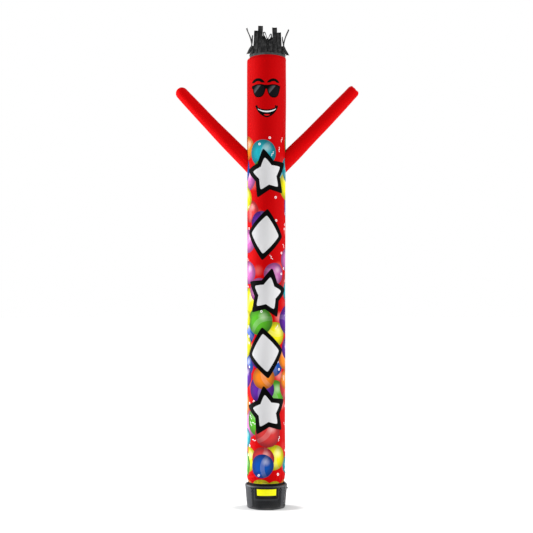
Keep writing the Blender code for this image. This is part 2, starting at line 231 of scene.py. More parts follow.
# One hair strip a row, angles in degrees. Bearing is from the front, positive to the right; lean
# is outward at the root, drift is along the rim, turn twists the flat side and bend folds it
# outward, each from one share of the length to another.
Strip = namedtuple(
    "Strip",
    "bearing length lean drift turn bend turn_from turn_to fold_from fold_to",
    defaults=(0.0, 0.35, 0.3, 1.0),
)
STRIPS = (
    Strip(-25, 0.315, -1, 1.5, 18, 3),
    Strip(25, 0.295, -2, -1, -18, 4),
    Strip(-43, 0.270, -3, 3, 24, 5),
    Strip(43, 0.247, -3, -3, -24, 6),
    Strip(-8, 0.350, 0, -5, 86, 162, 0.33, 0.61, 0.64, 0.73),
    Strip(8, 0.320, 0, 5, -86, 162, 0.33, 0.61, 0.64, 0.735),
    Strip(-61, 0.232, -10, 0, 12, 158, fold_from=0.38, fold_to=0.51),
    Strip(61, 0.236, -8, 0, -12, 158, fold_from=0.34, fold_to=0.47),
    Strip(-79, 0.342, -16, 0, 0, 37, fold_from=0.20, fold_to=0.60),
    Strip(79, 0.325, -15, 0, 0, 37, fold_from=0.20, fold_to=0.60),
    Strip(-100, 0.255, -11, 4, 0, 4),
    Strip(98, 0.235, -11, -2, 0, 4),
    Strip(-121, 0.110, -14, 0, 0, 10),
    Strip(121, 0.105, -12, 0, 0, 12),
    Strip(-142, 0.235, -2, 2, 0, 8),
    Strip(142, 0.225, -4, -2, 0, 12),
    Strip(-162, 0.232, 0, 0, 8, 22),
    Strip(162, 0.236, 0, 0, -8, 20),
    Strip(180, 0.228, -2, 0, 0, 10),
)
STRIP_PACE = (14.0, 24.0)
STRIP_RAGGED = (-0.0018, 0.0008)

# The strap, its free end and the buckle, in metres and degrees round from the right
STRAP_THICK = 0.0024
STRAP_SET_OUT = 0.0028
TAIL_WIDTH = 0.92
TAIL_FROM = -2.0
TAIL_TO = 31.0
TAIL_THICK = 0.0022
TAIL_SET_OUT = 0.0062
BUCKLE_SIZE = (0.0040, 0.030, 0.030)
BUCKLE_BAR = 0.0045
LEVER_SIZE = (0.0042, 0.0125, 0.0250)
LEVER_PLACE = (0.0016, 0.001, 0.0)
LEVER_TURN = 0.16
BUCKLE_BLACK = (0.010, 0.010, 0.011)

# Perforated bays of the blower's wall, bearings of their edges in degrees. A hole is a square on
# its point with cut corners and a sunken lip: the cut is a share of the hole's radius, and the
# lip's width and depth are shares of half a cell.
Bay = namedtuple("Bay", "start end")
BAYS = (Bay(-46, 47), Bay(61, 119), Bay(134, 226))
HOLE_COLUMNS = 54
HOLE_ROWS_BELOW = 7
HOLE_ROWS_ABOVE = 7
HOLE_CUT = 0.44
LIP_WIDTH = 0.09
LIP_DEPTH = -0.07
LABEL_MARGIN = 0.009
LABEL_MARGIN_DEGREES = 1.5

# Fan drum and knob
DRUM_LOW = 0.005
DRUM_RADIUS = 0.2140
DRUM_INSIDE_WALL = 0.025
KNOB_SEGMENTS = 24
KNOB_FLUTE = 0.90

# The print, laid out on the unrolled tube: across from the front's middle and up from the floor,
# in metres. The big white shapes stand one above the other, with balls and bits behind them.
BigShape = namedtuple("BigShape", "across height wide tall turn points inner")
BIG_SHAPES = (
    BigShape(0.012, 3.975, 0.232, 0.255, 9, 5, 0.56),
    BigShape(-0.018, 3.262, 0.205, 0.262, -6, 4, 0.72),
    BigShape(0.016, 2.560, 0.232, 0.255, -10, 5, 0.56),
    BigShape(-0.014, 1.862, 0.205, 0.262, 7, 4, 0.72),
    BigShape(0.010, 1.166, 0.232, 0.255, 8, 5, 0.56),
)
BALL_COLORS = (
    (0.005, 0.072, 0.370),
    (0.780, 0.210, 0.012),
    (0.080, 0.370, 0.018),
    (0.440, 0.110, 0.340),
    (0.720, 0.670, 0.006),
    (0.095, 0.016, 0.270),
    (0.012, 0.330, 0.400),
    (0.600, 0.040, 0.040),
)
BALL_BAND = (0.90, 0.86, 0.84, 1.0)
BALL_EDGE = (0.010, 0.004, 0.012, 1.0)
BALL_GLEAM = (1.0, 0.94, 0.90, 1.0)

# Layers of balls, the lowest first: how far apart they lie, how far the layer is shifted, the
# largest half size, and the share of places that are left empty.
BallLayer = namedtuple("BallLayer", "apart shift_across shift_up size empty")
BALL_LAYERS = (
    BallLayer(0.370, 0.31, 0.17, 0.180, 0.30),
    BallLayer(0.400, 40.12, 13.42, 0.186, 0.38),
    BallLayer(0.350, 21.05, 32.07, 0.164, 0.46),
)
PRINT_TOP = 4.44
INK = (0.001, 0.001, 0.001, 1.0)
PRINT_WHITE = (0.63, 0.63, 0.64, 1.0)
PRINT_GREY = (0.50, 0.50, 0.51, 1.0)
BUBBLE = (1.0, 0.56, 0.50, 1.0)
CONFETTI = (0.86, 0.80, 0.83, 1.0)
GLASS = (0.0055, 0.0048, 0.0065, 1.0)
GLASS_SHEEN = (0.075, 0.073, 0.080, 1.0)
TOOTH = (0.76, 0.78, 0.79, 1.0)
TONGUE_RED = (0.66, 0.006, 0.008, 1.0)

# The face, on the unrolled cloth, in metres: a brow is an arc with blunt ends, a lens is a
# tapered box with round corners, and the mouth lies below a circle. Boxes and spots are given by
# middle, half width and half height, circles by middle and radius.
Brow = namedtuple("Brow", "across middle radius half low")
BROWS = (
    Brow(-0.1045, 5.0190, 0.0780, 0.0178, 5.060),
    Brow(0.0840, 5.0225, 0.0720, 0.0162, 5.060),
)
LENSES = ((-0.0918, 4.9650, 0.0770, 0.0790), (0.0868, 4.9623, 0.0765, 0.0790))
GLASSES_BAR = (-0.0072, 5.0097, 0.1838, 0.0240)
MOUTH = (0.0045, 4.7900, 0.1385, 0.1425)
MOUTH_ENDS = ((-0.1203, 4.7825, 0.0150, 0.0118), (0.1130, 4.7835, 0.0128, 0.0118))
MOUTH_TOP = (0.0017, 4.9471, 0.2050)
TEETH_LOW = (0.0045, 4.8765, 0.1680)
TONGUE = (0.0035, 4.6500, 0.0420, 0.0365)
SOFT_EDGE = 0.0012

# Sewing and weave, in metres: the hems' rows of stitches by their height, and the other rows by
# how far they lie from the seam up the tube's back and from an arm's root. The nylon's gloss is
# its roughness and its specular level.
HEM_STITCHES = (RIM_HEIGHT - 0.004, RIM_HEIGHT - 0.026, CUFF_BOTTOM + 0.006, CUFF_BOTTOM + 0.060)
SEAM_STITCHES = (0.006, 0.013)
ARM_STITCHES = (0.006, 0.014)
STITCH_PITCH = 0.007
NYLON_GLOSS = (0.60, 0.030)
NYLON_PITCH = 0.0016
NYLON_DEPTH = 0.00004
HAIR_PITCH = 0.0012
HAIR_DEPTH = 0.00006
WEBBING_PITCH = 0.0022
WEBBING_ROW = 0.0040
# Colours of the webbing's grooves and crests: the darker grooves are painted shade.
WEBBING_SHADED_GROOVE = (0.002, 0.002, 0.002, 1.0)
WEBBING_LIT_CREST = (0.009, 0.009, 0.010, 1.0)
DUST = (0.22, 0.21, 0.20, 1.0)

# Camera, in metres: level, in front of the figure
CAMERA_PLACE = (0.0048, -16.0, 2.884)
CAMERA_LENS = 90.06
CAMERA_SENSOR = 36.0

# Floor. The pool is the middle, half width and half depth of the soft shadow round the blower:
# outside it, the floor glows a little, a painted glow that only the camera sees, so the floor
# reads white and only the pool keeps its shade.
FLOOR_RADIUS = 60.0
SHADOW_POOL = (0.0, -0.06, 0.50, 0.27)

# Soft lights: where each one is, the height on the part's axis that it points at, how wide and
# tall it is, the setting that holds its power, and its colour
Light = namedtuple("Light", "name place aim wide tall power color")
WHITE = (1.0, 1.0, 1.0)
BLUISH = (0.86, 0.91, 1.0)
LIGHTS = (
    Light("left_soft", (-7.6, -0.1, 3.0), 2.9, 2.0, 7.0, "left_power", WHITE),
    Light("right_soft", (7.3, -2.1, 3.0), 2.9, 2.0, 7.0, "right_power", WHITE),
    Light("left_edge", (-4.0, 1.6, 0.7), 0.2, 0.8, 1.2, "left_edge_power", BLUISH),
    Light("right_edge", (4.0, 1.2, 0.7), 0.2, 0.6, 1.2, "right_edge_power", WHITE),
)
SURROUND_LIGHT = 0.94


# Settings

# What every colour has in common
COLOR = {"subtype": "COLOR", "size": 3, "min": 0.0, "max": 1.0}


class ClothSettings(bpy.types.PropertyGroup):
    red: bpy.props.FloatVectorProperty(
        name="Red",
        description="Ground colour of the tube",
        default=(0.500, 0.000, 0.001),
        **COLOR,
    )
    # The arms are the tube's nylon: their brighter red is painted light.
    sleeve_painted_light: bpy.props.FloatVectorProperty(
        name="Sleeve",
        description="Colour of the arms, whose single cloth is a little brighter",
        default=(0.610, 0.000, 0.001),
        **COLOR,
    )
    thickness: bpy.props.FloatProperty(
        name="Thickness",
        description="Thickness of the nylon sheet as it is drawn",
        unit="LENGTH",
        default=0.0014,
    )
    crease: bpy.props.FloatProperty(
        name="Crease depth",
        description="Scale of the hand-placed creases",
        default=1.0,
    )


class HairSettings(bpy.types.PropertyGroup):
    band: bpy.props.FloatVectorProperty(
        name="Band",
        description="Colour of the crown's band",
        default=(0.030, 0.036, 0.038),
        **COLOR,
    )
    black: bpy.props.FloatVectorProperty(
        name="Black",
        description="Colour of the hair strips",
        default=(0.009, 0.009, 0.0095),
        **COLOR,
    )
    thickness: bpy.props.FloatProperty(
        name="Thickness",
        description="Thickness of the strips as they are drawn",
        unit="LENGTH",
        default=0.0014,
    )
    cup: bpy.props.FloatProperty(
        name="Cupping",
        description="How far a strip's edges curl away from its middle",
        unit="LENGTH",
        default=0.006,
    )


class BlowerSettings(bpy.types.PropertyGroup):
    black: bpy.props.FloatVectorProperty(
        name="Black",
        description="Colour of the moulded tub",
        default=(0.020, 0.0215, 0.0255),
        **COLOR,
    )
    yellow: bpy.props.FloatVectorProperty(
        name="Yellow",
        description="Colour of the bare panel on the label",
        default=(0.84, 0.82, 0.0),
        **COLOR,
    )
    wall: bpy.props.FloatProperty(
        name="Wall",
        description="Thickness of the perforated wall",
        unit="LENGTH",
        default=0.003,
    )
    hole_radius: bpy.props.FloatProperty(
        name="Hole radius",
        description="Radius of a hole in the perforated bays",
        unit="LENGTH",
        default=0.0098,
    )


class StageSettings(bpy.types.PropertyGroup):
    floor: bpy.props.FloatVectorProperty(
        name="Floor",
        description="Colour of the pale floor",
        default=(0.76, 0.76, 0.76),
        **COLOR,
    )
    left_power: bpy.props.FloatProperty(
        name="Left light",
        description="Power of the tall soft light at the left, in watts",
        default=700.0,
    )
    right_power: bpy.props.FloatProperty(
        name="Right light",
        description="Power of the tall soft light at the right, in watts",
        default=320.0,
    )
    left_edge_power: bpy.props.FloatProperty(
        name="Left edge light",
        description="Power of the low bluish light behind the blower's left side, in watts",
        default=110.0,
    )
    right_edge_power: bpy.props.FloatProperty(
        name="Right edge light",
        description="Power of the low light behind the blower's right side, in watts",
        default=40.0,
    )


# Shape helpers


def smooth_step(value, low, high):
    """Eases from 0 at low to 1 at high."""
    t = min(1.0, max(0.0, (value - low) / (high - low)))
    return t * t * (3.0 - 2.0 * t)


def ring_point(radius, angle, height, shift=0.0):
    """A point on a level ring, whose middle is shifted to the right."""
    return Vector((shift + radius * math.cos(angle), radius * math.sin(angle), height))


def blended(rows, t, keys=None):
    """Runs a smooth curve through the rows of a table: t counts rows from 0.

    The rows lie evenly, or at the places that keys gives.
    """
    last = len(rows) - 1
    keys = keys or range(last + 1)
    index = min(int(t), last - 1)
    f = t - index
    span = keys[index + 1] - keys[index]
    ends = []
    for here in (index, index + 1):
        low, high = max(here - 1, 0), min(here + 1, last)
        reach = keys[high] - keys[low]
        ends.append([span * (b - a) / reach for a, b in zip(rows[low], rows[high])])
    values = []
    for a, b, leave, arrive in zip(rows[index], rows[index + 1], *ends):
        eased = f * f * (3.0 - 2.0 * f)
        value = a + (b - a) * eased
        value += leave * f * (1.0 - f) ** 2 - arrive * f * f * (1.0 - f)
        values.append(value)
    return values


def wrapped(around, along, place, measure):
    """Wraps a grid round the part, with a UV map in metres.

    place(u, v) gives the point and measure(u, v) the place on the flat cloth, with u and v
    from 0 to 1.
    """
    mesh = bmesh.new()
    bmesh.ops.create_grid(mesh, x_segments=around, y_segments=along, size=0.5)
    flat = mesh.loops.layers.uv.new("flat_cloth")
    for face in mesh.faces:
        for loop in face.loops:
            loop[flat].uv = measure(loop.vert.co.x + 0.5, loop.vert.co.y + 0.5)
    for vert in mesh.verts:
        vert.co = place(vert.co.x + 0.5, vert.co.y + 0.5)
    bmesh.ops.remove_doubles(mesh, verts=mesh.verts, dist=MERGE)
    return mesh


def turned(profile, steps=TURN_STEPS, closed=False):
    """Turns a profile of (radius, height) points about Z."""
    mesh = bmesh.new()
    verts = [mesh.verts.new((radius, 0.0, height)) for radius, height in profile]
    for first, second in zip(verts, verts[1:]):
        mesh.edges.new((first, second))
    if closed:
        mesh.edges.new((verts[-1], verts[0]))
    bmesh.ops.spin(
        mesh,
        geom=mesh.verts[:] + mesh.edges[:],
        cent=(0.0, 0.0, 0.0),
        axis=(0.0, 0.0, 1.0),
        angle=math.tau,
        steps=steps,
        use_merge=True,
    )
    bmesh.ops.remove_doubles(mesh, verts=mesh.verts, dist=MERGE)
    bmesh.ops.recalc_face_normals(mesh, faces=mesh.faces)
    return mesh


def arc(radius, height, wide, high, start, end, steps):
    """Profile points round a corner from its middle, angles in degrees from outward."""
    points = []
    for step in range(steps + 1):
        angle = math.radians(start + (end - start) * step / steps)
        points.append((radius + wide * math.cos(angle), height + high * math.sin(angle)))
    return points


def scaled_cube(mesh, size):
    """Adds a box about the origin and gives its corners."""
    verts = bmesh.ops.create_cube(mesh, size=1.0)["verts"]
    bmesh.ops.scale(mesh, vec=size, verts=verts)
    return verts


def add_piece(name, mesh, paint, sharp=40.0):
    """Makes an object of a bmesh, which it frees; edges over sharp degrees stay crisp."""
    data = bpy.data.meshes.new(name)
    mesh.to_mesh(data)
    mesh.free()
    data.materials.append(paint)
    data.shade_smooth()
    if sharp:
        data.set_sharp_from_angle(angle=math.radians(sharp))
    piece = bpy.data.objects.new(name, data)
    bpy.context.scene.collection.objects.link(piece)
    return piece


def thicken(piece, thickness, offset=-1.0):
    """Gives a sheet its thickness: inward, or to both sides with an offset of 0."""
    modifier = piece.modifiers.new("thickness", "SOLIDIFY")
    modifier.thickness = thickness
    modifier.offset = offset
    modifier.use_even_offset = True


def rounded_edges(piece, width):
    """Rounds a piece's edges a little."""
    modifier = piece.modifiers.new("edges", "BEVEL")
    modifier.width = width
    modifier.segments = 2
    modifier.limit_method = "ANGLE"
    modifier.angle_limit = math.radians(35.0)


def crease_depth(creases, radius, angle, height):
    """How far the listed creases press a tube inward at an angle and a height."""
    depth = 0.0
    for crease in creases:
        bearing = math.radians(crease.bearing - 90.0)
        across = (angle - bearing + math.pi) % math.tau - math.pi
        x, y = across * radius, height - crease.height
        turn = math.radians(crease.turn)
        along = x * math.cos(turn) + y * math.sin(turn)
        beside = y * math.cos(turn) - x * math.sin(turn)
        if abs(along) < crease.length and abs(beside) < 4.0 * crease.width:
            fade = math.exp(-((2.2 * along / crease.length) ** 2))
            trough = beside / crease.width
            ridge = RIDGE_SHARE * math.exp(-((abs(trough) - RIDGE_PLACE) ** 2))
            depth += crease.depth * fade * (math.exp(-trough * trough) - ridge)
    return depth


# Node helper


class Shading:
    """A material's nodes, made by short calls that return sockets."""

    def __init__(self, name, roughness, specular):
        self.material = bpy.data.materials.new(name)
        self.material.use_nodes = True
        self.tree = self.material.node_tree
        self.shader = self.tree.nodes["Principled BSDF"]
        self.put("Roughness", roughness)
        self.put("Specular IOR Level", specular)

    def put(self, socket, value):
        """Sets or links one of the shader's own sockets."""
        self.fill(self.shader.inputs[socket], value)

    def fill(self, socket, value):
        """Sets a socket to a value, or links it to another node's socket."""
        if isinstance(value, bpy.types.NodeSocket):
            self.tree.links.new(value, socket)
        else:
            socket.default_value = value

    def node(self, kind, inputs=(), **settings):
        """Adds a node with its settings, and fills its inputs."""
        made = self.tree.nodes.new("ShaderNode" + kind)
        for key, value in settings.items():
            setattr(made, key, value)
        for socket, value in dict(inputs).items():
            self.fill(made.inputs[socket], value)
        return made

    def math(self, operation, *values):
        made = self.node("Math", enumerate(values), operation=operation)
        return made.outputs[0]

    def times(self, first, second):
        return self.math("MULTIPLY", first, second)

    def wave(self, place, pitch):
        """A wave from -1 to 1 over a place in metres."""
        return self.math("SINE", self.times(place, math.tau / pitch))

    def vector(self, operation, *values):
        return self.node("VectorMath", enumerate(values), operation=operation).outputs

    def split(self, vector):
        made = self.node("SeparateXYZ", {0: vector})
        return made.outputs[0], made.outputs[1]

    def flat_cloth(self):
        return self.node("UVMap", uv_map="flat_cloth").outputs[0]

    def object_place(self):
        return self.node("TexCoord").outputs["Object"]

    def placed(self, vector, across, height, wide, tall, turn=0.0):
        """The place on the cloth as a shape sees it: centred, turned and scaled to it."""
        inputs = {
            "Vector": vector,
            "Location": (across, height, 0.0),
            "Rotation": (0.0, 0.0, math.radians(turn)),
            "Scale": (wide, tall, 1.0),
        }
        return self.node("Mapping", inputs, vector_type="TEXTURE").outputs[0]

    def rotated(self, vector, angle):
        inputs = {"Vector": vector, "Angle": angle}
        return self.node("VectorRotate", inputs, rotation_type="Z_AXIS").outputs[0]

    def distance(self, vector, across=0.0, height=0.0):
        return self.vector("DISTANCE", vector, (across, height, 0.0))["Value"]

    def step(self, value, low, high):
        """Eases from 0 at low to 1 at high; low may be the larger."""
        inputs = {"Value": value, "From Min": low, "From Max": high}
        return self.node("MapRange", inputs, interpolation_type="SMOOTHSTEP").outputs[0]

    def mix(self, share, low, high):
        made = self.node("Mix", {0: share, 6: low, 7: high}, data_type="RGBA")
        return made.outputs[2]

    def noise(self, vector, scale, detail, roughness=0.5):
        inputs = {"Vector": vector, "Scale": scale, "Detail": detail, "Roughness": roughness}
        return self.node("TexNoise", inputs).outputs[0]

    def bump(self, height, distance, strength, normal=None):
        inputs = {"Height": height, "Distance": distance, "Strength": strength}
        if normal is not None:
            inputs["Normal"] = normal
        return self.node("Bump", inputs).outputs[0]

    def pick(self, share, colors):
        """One of some colours, by a value from 0 to 1 of which each has an even share."""
        made = self.node("ValToRGB", {0: share})
        made.color_ramp.interpolation = "CONSTANT"
        elements = made.color_ramp.elements
        while len(elements) < len(colors):
            elements.new(1.0)
        for number, (element, color) in enumerate(zip(elements, colors)):
            element.position = number / len(colors)
            element.color = opaque(color)
        return made.outputs[0]


def opaque(color):
    """A colour with full alpha, as a socket takes it."""
    return (color[0], color[1], color[2], 1.0)


def shade(color, factor):
    """A colour made darker, or lighter towards white where the factor is over 1."""
    if factor <= 1.0:
        return tuple(channel * factor for channel in color[:3])
    return tuple(channel + (1.0 - channel) * (factor - 1.0) for channel in color[:3])


# Materials


def woven(shading, cloth):
    """The bump of a plain weave with a stronger thread every few, on a UV map in metres."""
    waves = []
    for place in shading.split(cloth):
        fine = shading.wave(place, NYLON_PITCH)
        coarse = shading.wave(place, 9.0 * NYLON_PITCH)
        thread = shading.step(coarse, 0.94, 1.0)
        waves.append(shading.math("ADD", fine, shading.times(thread, 2.0)))
    return shading.bump(shading.math("ADD", *waves), NYLON_DEPTH, 0.3)


def stitches(shading, across, along, rows):
    """Where stitches lie, 1 on the thread, in rows that run across at given places along."""
    dash = shading.step(shading.wave(across, STITCH_PITCH), -0.4, 0.0)
    found = None
    for row in rows:
        off = shading.math("ABSOLUTE", shading.math("SUBTRACT", along, row))
        line = shading.times(dash, shading.step(off, 0.0016, 0.0006))
        found = line if found is None else shading.math("MAXIMUM", found, line)
    return found


def cloth_ground(shading, cloth, red):
    """Red nylon, a little uneven in colour as cloth is where it pulls and slackens."""
    uneven = shading.noise(cloth, 3.0, 3.0)
    ground = shading.mix(uneven, opaque(shade(red, 0.90)), opaque(red))
    speckle = shading.noise(cloth, 220.0, 2.0)
    return shading.mix(shading.step(speckle, 0.45, 0.75), ground, opaque(shade(red, 0.93)))


def star_distance(shading, place, points, inner):
    """Signed distance to a star whose tips lie at 1, in shares of its size."""
    half = math.pi / points
    slope_x = inner * math.sin(half)
    slope_y = 1.0 - inner * math.cos(half)
    size = math.hypot(slope_x, slope_y)
    rounding = 0.0036
    folded = shading.math("WRAP", shading.math("ARCTAN2", *shading.split(place)), half, -half)
    reach = shading.distance(place)
    along = shading.times(reach, shading.math("COSINE", folded))
    beside = shading.times(reach, shading.math("SINE", folded))
    beside = shading.math("SQRT", shading.math("MULTIPLY_ADD", beside, beside, rounding))
    edge = shading.math("MULTIPLY_ADD", beside, slope_y / size, -slope_x / size)
    return shading.math("MULTIPLY_ADD", along, slope_x / size, edge)


def scattered(shading, cloth, apart, shift, loose):
    """One place a cell: the way from it, if it is in the print, and three random numbers."""
    moved = shading.vector("ADD", cloth, (*shift, 0.0))[0]
    inputs = {"Vector": moved, "Scale": 1.0 / apart, "Randomness": loose}
    cells = shading.node("TexVoronoi", inputs, voronoi_dimensions="2D")
    middle = cells.outputs["Position"]
    away = shading.vector("SUBTRACT", moved, middle)[0]
    draws = shading.node("SeparateColor", {0: cells.outputs["Color"]}).outputs
    inside = shading.math("LESS_THAN", shading.split(middle)[1], PRINT_TOP + shift[1])
    return away, inside, draws


def ball_layer(shading, below, cloth, layer):
    """Prints a layer of shaded balls, each with a pale band, over what is below."""
    shift = (layer.shift_across, layer.shift_up)
    away, inside, draws = scattered(shading, cloth, layer.apart, shift, 0.22)
    size = shading.math("MULTIPLY_ADD", draws[1], 0.30 * layer.size, 0.70 * layer.size)
    inputs = {0: away, "Scale": shading.math("DIVIDE", 1.0, size)}
    local = shading.node("VectorMath", inputs, operation="SCALE").outputs[0]
    reach = shading.distance(local)
    there = shading.step(reach, 1.01, 0.97)
    there = shading.times(there, shading.math("GREATER_THAN", draws[2], layer.empty))
    there = shading.times(there, inside)
    color = shading.pick(draws[0], BALL_COLORS)
    x, y = shading.split(shading.rotated(local, shading.times(draws[1], 9.0)))
    bow = shading.math("MULTIPLY_ADD", shading.times(x, x), 0.45, y)
    band = shading.step(shading.math("ABSOLUTE", bow), 0.21, 0.17)
    color = shading.mix(shading.times(band, 0.09), color, BALL_BAND)
    edge = shading.times(shading.step(reach, 0.35, 1.02), 0.62)
    color = shading.mix(edge, color, BALL_EDGE)
    glow = shading.times(shading.step(shading.distance(local, 0.30, 0.34), 0.46, 0.0), 0.26)
    color = shading.mix(glow, color, BALL_GLEAM)
    return shading.mix(there, below, color)


def bubbles(shading, below, cloth):
    """Soft pale rounds on the ground, behind all else."""
    away, inside, draws = scattered(shading, cloth, 0.34, (0.2, 0.3), 0.7)
    glow = shading.step(shading.distance(away), 0.085, 0.0)
    glow = shading.times(glow, shading.times(draws[1], 0.40))
    return shading.mix(shading.times(glow, inside), below, BUBBLE)


def confetti(shading, below, cloth):
    """Small white rings and wavy bars."""
    away, inside, draws = scattered(shading, cloth, 0.135, (0.03, 0.01), 0.8)
    x, y = shading.split(shading.rotated(away, shading.times(draws[0], 9.0)))
    wave = shading.math("SINE", shading.times(x, 210.0))
    off = shading.math("ABSOLUTE", shading.math("MULTIPLY_ADD", wave, 0.006, y))
    line = shading.step(off, 0.0042, 0.0030)
    line = shading.times(line, shading.step(shading.math("ABSOLUTE", x), 0.031, 0.029))
    line = shading.times(line, shading.math("GREATER_THAN", draws[2], 0.80))
    off = shading.math("SUBTRACT", shading.distance(away), 0.0105)
    ring = shading.step(shading.math("ABSOLUTE", off), 0.0046, 0.0032)
    ring = shading.times(ring, shading.math("LESS_THAN", draws[2], 0.17))
    there = shading.times(shading.math("MAXIMUM", line, ring), inside)
    return shading.mix(there, below, CONFETTI)


def big_shapes(shading, below, cloth):
    """The white shapes with their thick black outlines."""
    for shape in BIG_SHAPES:
        place = shading.placed(
            cloth, shape.across, shape.height, shape.wide, shape.tall, shape.turn
        )
        reach = star_distance(shading, place, shape.points, shape.inner)
        below = shading.mix(shading.step(reach, 0.158, 0.141), below, INK)
        grey = shading.step(shading.split(place)[0], 0.35, -0.75)
        white = shading.mix(grey, PRINT_WHITE, PRINT_GREY)
        below = shading.mix(shading.step(reach, -0.060, -0.076), below, white)
    return below


def rounded_box(shading, place, power):
    """A box with round corners whose sides lie at 1: below 1 is inside."""
    sides = [
        shading.math("POWER", shading.math("ABSOLUTE", side), power)
        for side in shading.split(place)
    ]
    return shading.math("ADD", *sides)


def eyes(shading, below, cloth):
    """Brows over dark glasses with a slanting sheen."""
    height = shading.split(cloth)[1]
    for brow in BROWS:
        reach = shading.distance(cloth, brow.across, brow.middle)
        off = shading.math("ABSOLUTE", shading.math("SUBTRACT", reach, brow.radius))
        arch = shading.step(off, brow.half + SOFT_EDGE, brow.half - SOFT_EDGE)
        arch = shading.times(arch, shading.step(height, brow.low - 0.004, brow.low + 0.004))
        below = shading.mix(arch, below, INK)
    bar = rounded_box(shading, shading.placed(cloth, *GLASSES_BAR), 5.0)
    below = shading.mix(shading.step(bar, 1.1, 0.9), below, INK)
    for lens in LENSES:
        x, y = shading.split(shading.placed(cloth, *lens))
        narrow = shading.math("MULTIPLY_ADD", y, -0.28, 1.0)
        tapered = shading.node("CombineXYZ", {0: shading.times(x, narrow), 1: y})
        box = rounded_box(shading, tapered.outputs[0], 2.6)
        below = shading.mix(shading.step(box, 1.05, 0.95), below, INK)
        slant = shading.math("MULTIPLY_ADD", y, -0.85, x)
        ends = shading.step(slant, -1.25, -0.50)
        sheen = shading.times(shading.step(slant, -0.30, -0.46), ends)
        glass = shading.mix(sheen, GLASS, GLASS_SHEEN)
        below = shading.mix(shading.step(box, 0.66, 0.52), below, glass)
    return below


def mouth(shading, below, cloth):
    """A wide open mouth with two rows of teeth and a tongue."""
    *top_middle, top_radius = MOUTH_TOP
    *low_middle, low_radius = TEETH_LOW
    top = shading.distance(cloth, *top_middle)
    low = shading.distance(cloth, *low_middle)
    bottom = rounded_box(shading, shading.placed(cloth, *MOUTH), 1.55)
    lips = shading.step(top, top_radius - SOFT_EDGE, top_radius + SOFT_EDGE)
    lips = shading.times(lips, shading.step(bottom, 1.02, 0.98))
    below = shading.mix(lips, below, INK)
    for end in MOUTH_ENDS:
        spot = shading.distance(shading.placed(cloth, *end))
        below = shading.mix(shading.step(spot, 1.08, 0.92), below, INK)
    teeth = shading.times(
        shading.step(top, top_radius + 0.015, top_radius + 0.018),
        shading.step(low, low_radius + SOFT_EDGE, low_radius - SOFT_EDGE),
    )
    teeth = shading.times(teeth, shading.step(bottom, 0.84, 0.80))
    below = shading.mix(teeth, below, TOOTH)
    tongue = shading.step(rounded_box(shading, shading.placed(cloth, *TONGUE), 4.0), 1.1, 0.9)
    tongue = shading.times(tongue, shading.step(bottom, 0.82, 0.79))
    return shading.mix(tongue, below, TONGUE_RED)


def cloth_finish(shading, cloth):
    """The weave and soft gloss of nylon."""
    shading.put("Normal", woven(shading, cloth))
    shading.put("Sheen Weight", 0.008)
    shading.put("Sheen Roughness", 0.40)


def body_material(red):
    """Printed red nylon: the print from the lowest layer up, then the hems and the back seam."""
    shading = Shading("printed_nylon", *NYLON_GLOSS)
    cloth = shading.flat_cloth()
    color = cloth_ground(shading, cloth, red)
    color = bubbles(shading, color, cloth)
    for layer in BALL_LAYERS:
        color = ball_layer(shading, color, cloth, layer)
    for printed in (confetti, big_shapes, eyes, mouth):
        color = printed(shading, color, cloth)
    across, height = shading.split(cloth)
    thread = stitches(shading, across, height, HEM_STITCHES)
    half_girth = math.pi * TUBE_RADIUS
    beside = shading.math("SUBTRACT", half_girth, shading.math("ABSOLUTE", across))
    seam = stitches(shading, height, beside, SEAM_STITCHES)
    thread = shading.math("MAXIMUM", thread, seam)
    color = shading.mix(thread, color, opaque(shade(red, 0.30)))
    color = shading.mix(shading.step(beside, 0.0022, 0.0008), color, opaque(shade(red, 0.20)))
    shading.put("Base Color", color)
    cloth_finish(shading, cloth)
    return shading.material


def arm_material(red):
    """Plain red nylon, with two rows of stitches at its root."""
    shading = Shading("plain_nylon", *NYLON_GLOSS)
    cloth = shading.flat_cloth()
    color = cloth_ground(shading, cloth, red)
    thread = stitches(shading, *shading.split(cloth), ARM_STITCHES)
    shading.put("Base Color", shading.mix(thread, color, opaque(shade(red, 0.45))))
    cloth_finish(shading, cloth)
    return shading.material


def hair_material(name, black, roughness, darker_edges=False):
    """Black nylon, its folds a little greyer where they are rubbed, and if asked darker along a
    strip's long edges and towards its cut end.
    """
    shading = Shading(name, roughness, 0.14)
    cloth = shading.flat_cloth()
    across, along = shading.split(cloth)
    rubbed = shading.noise(cloth, 18.0, 4.0, 0.6)
    rubbed = shading.step(rubbed, 0.38, 0.72)
    color = shading.mix(rubbed, opaque(black), opaque(shade(black, 1.040)))
    if darker_edges:
        # Darker along the strips' long edges and over the last centimetres before the cut end.
        beside = shading.math("ABSOLUTE", shading.math("WRAP", across, 0.5, -0.5))
        edge_darkening = shading.step(beside, 0.5 * STRIP_WIDTH - 0.010, 0.5 * STRIP_WIDTH - 0.003)
        edge_darkening = shading.math("MAXIMUM", edge_darkening, shading.step(along, -0.020, -0.012))
        color = shading.mix(shading.times(edge_darkening, 0.85), color, INK)
    shading.put("Base Color", color)
    crumple = shading.bump(shading.noise(cloth, 30.0, 3.0, 0.6), 0.003, 0.5)
    weave = shading.math("ADD", shading.wave(across, HAIR_PITCH), shading.wave(along, HAIR_PITCH))
    shading.put("Normal", shading.bump(weave, HAIR_DEPTH, 0.5, crumple))
    shading.put("Sheen Weight", 0.02)
    shading.put("Sheen Roughness", 0.4)
    return shading.material


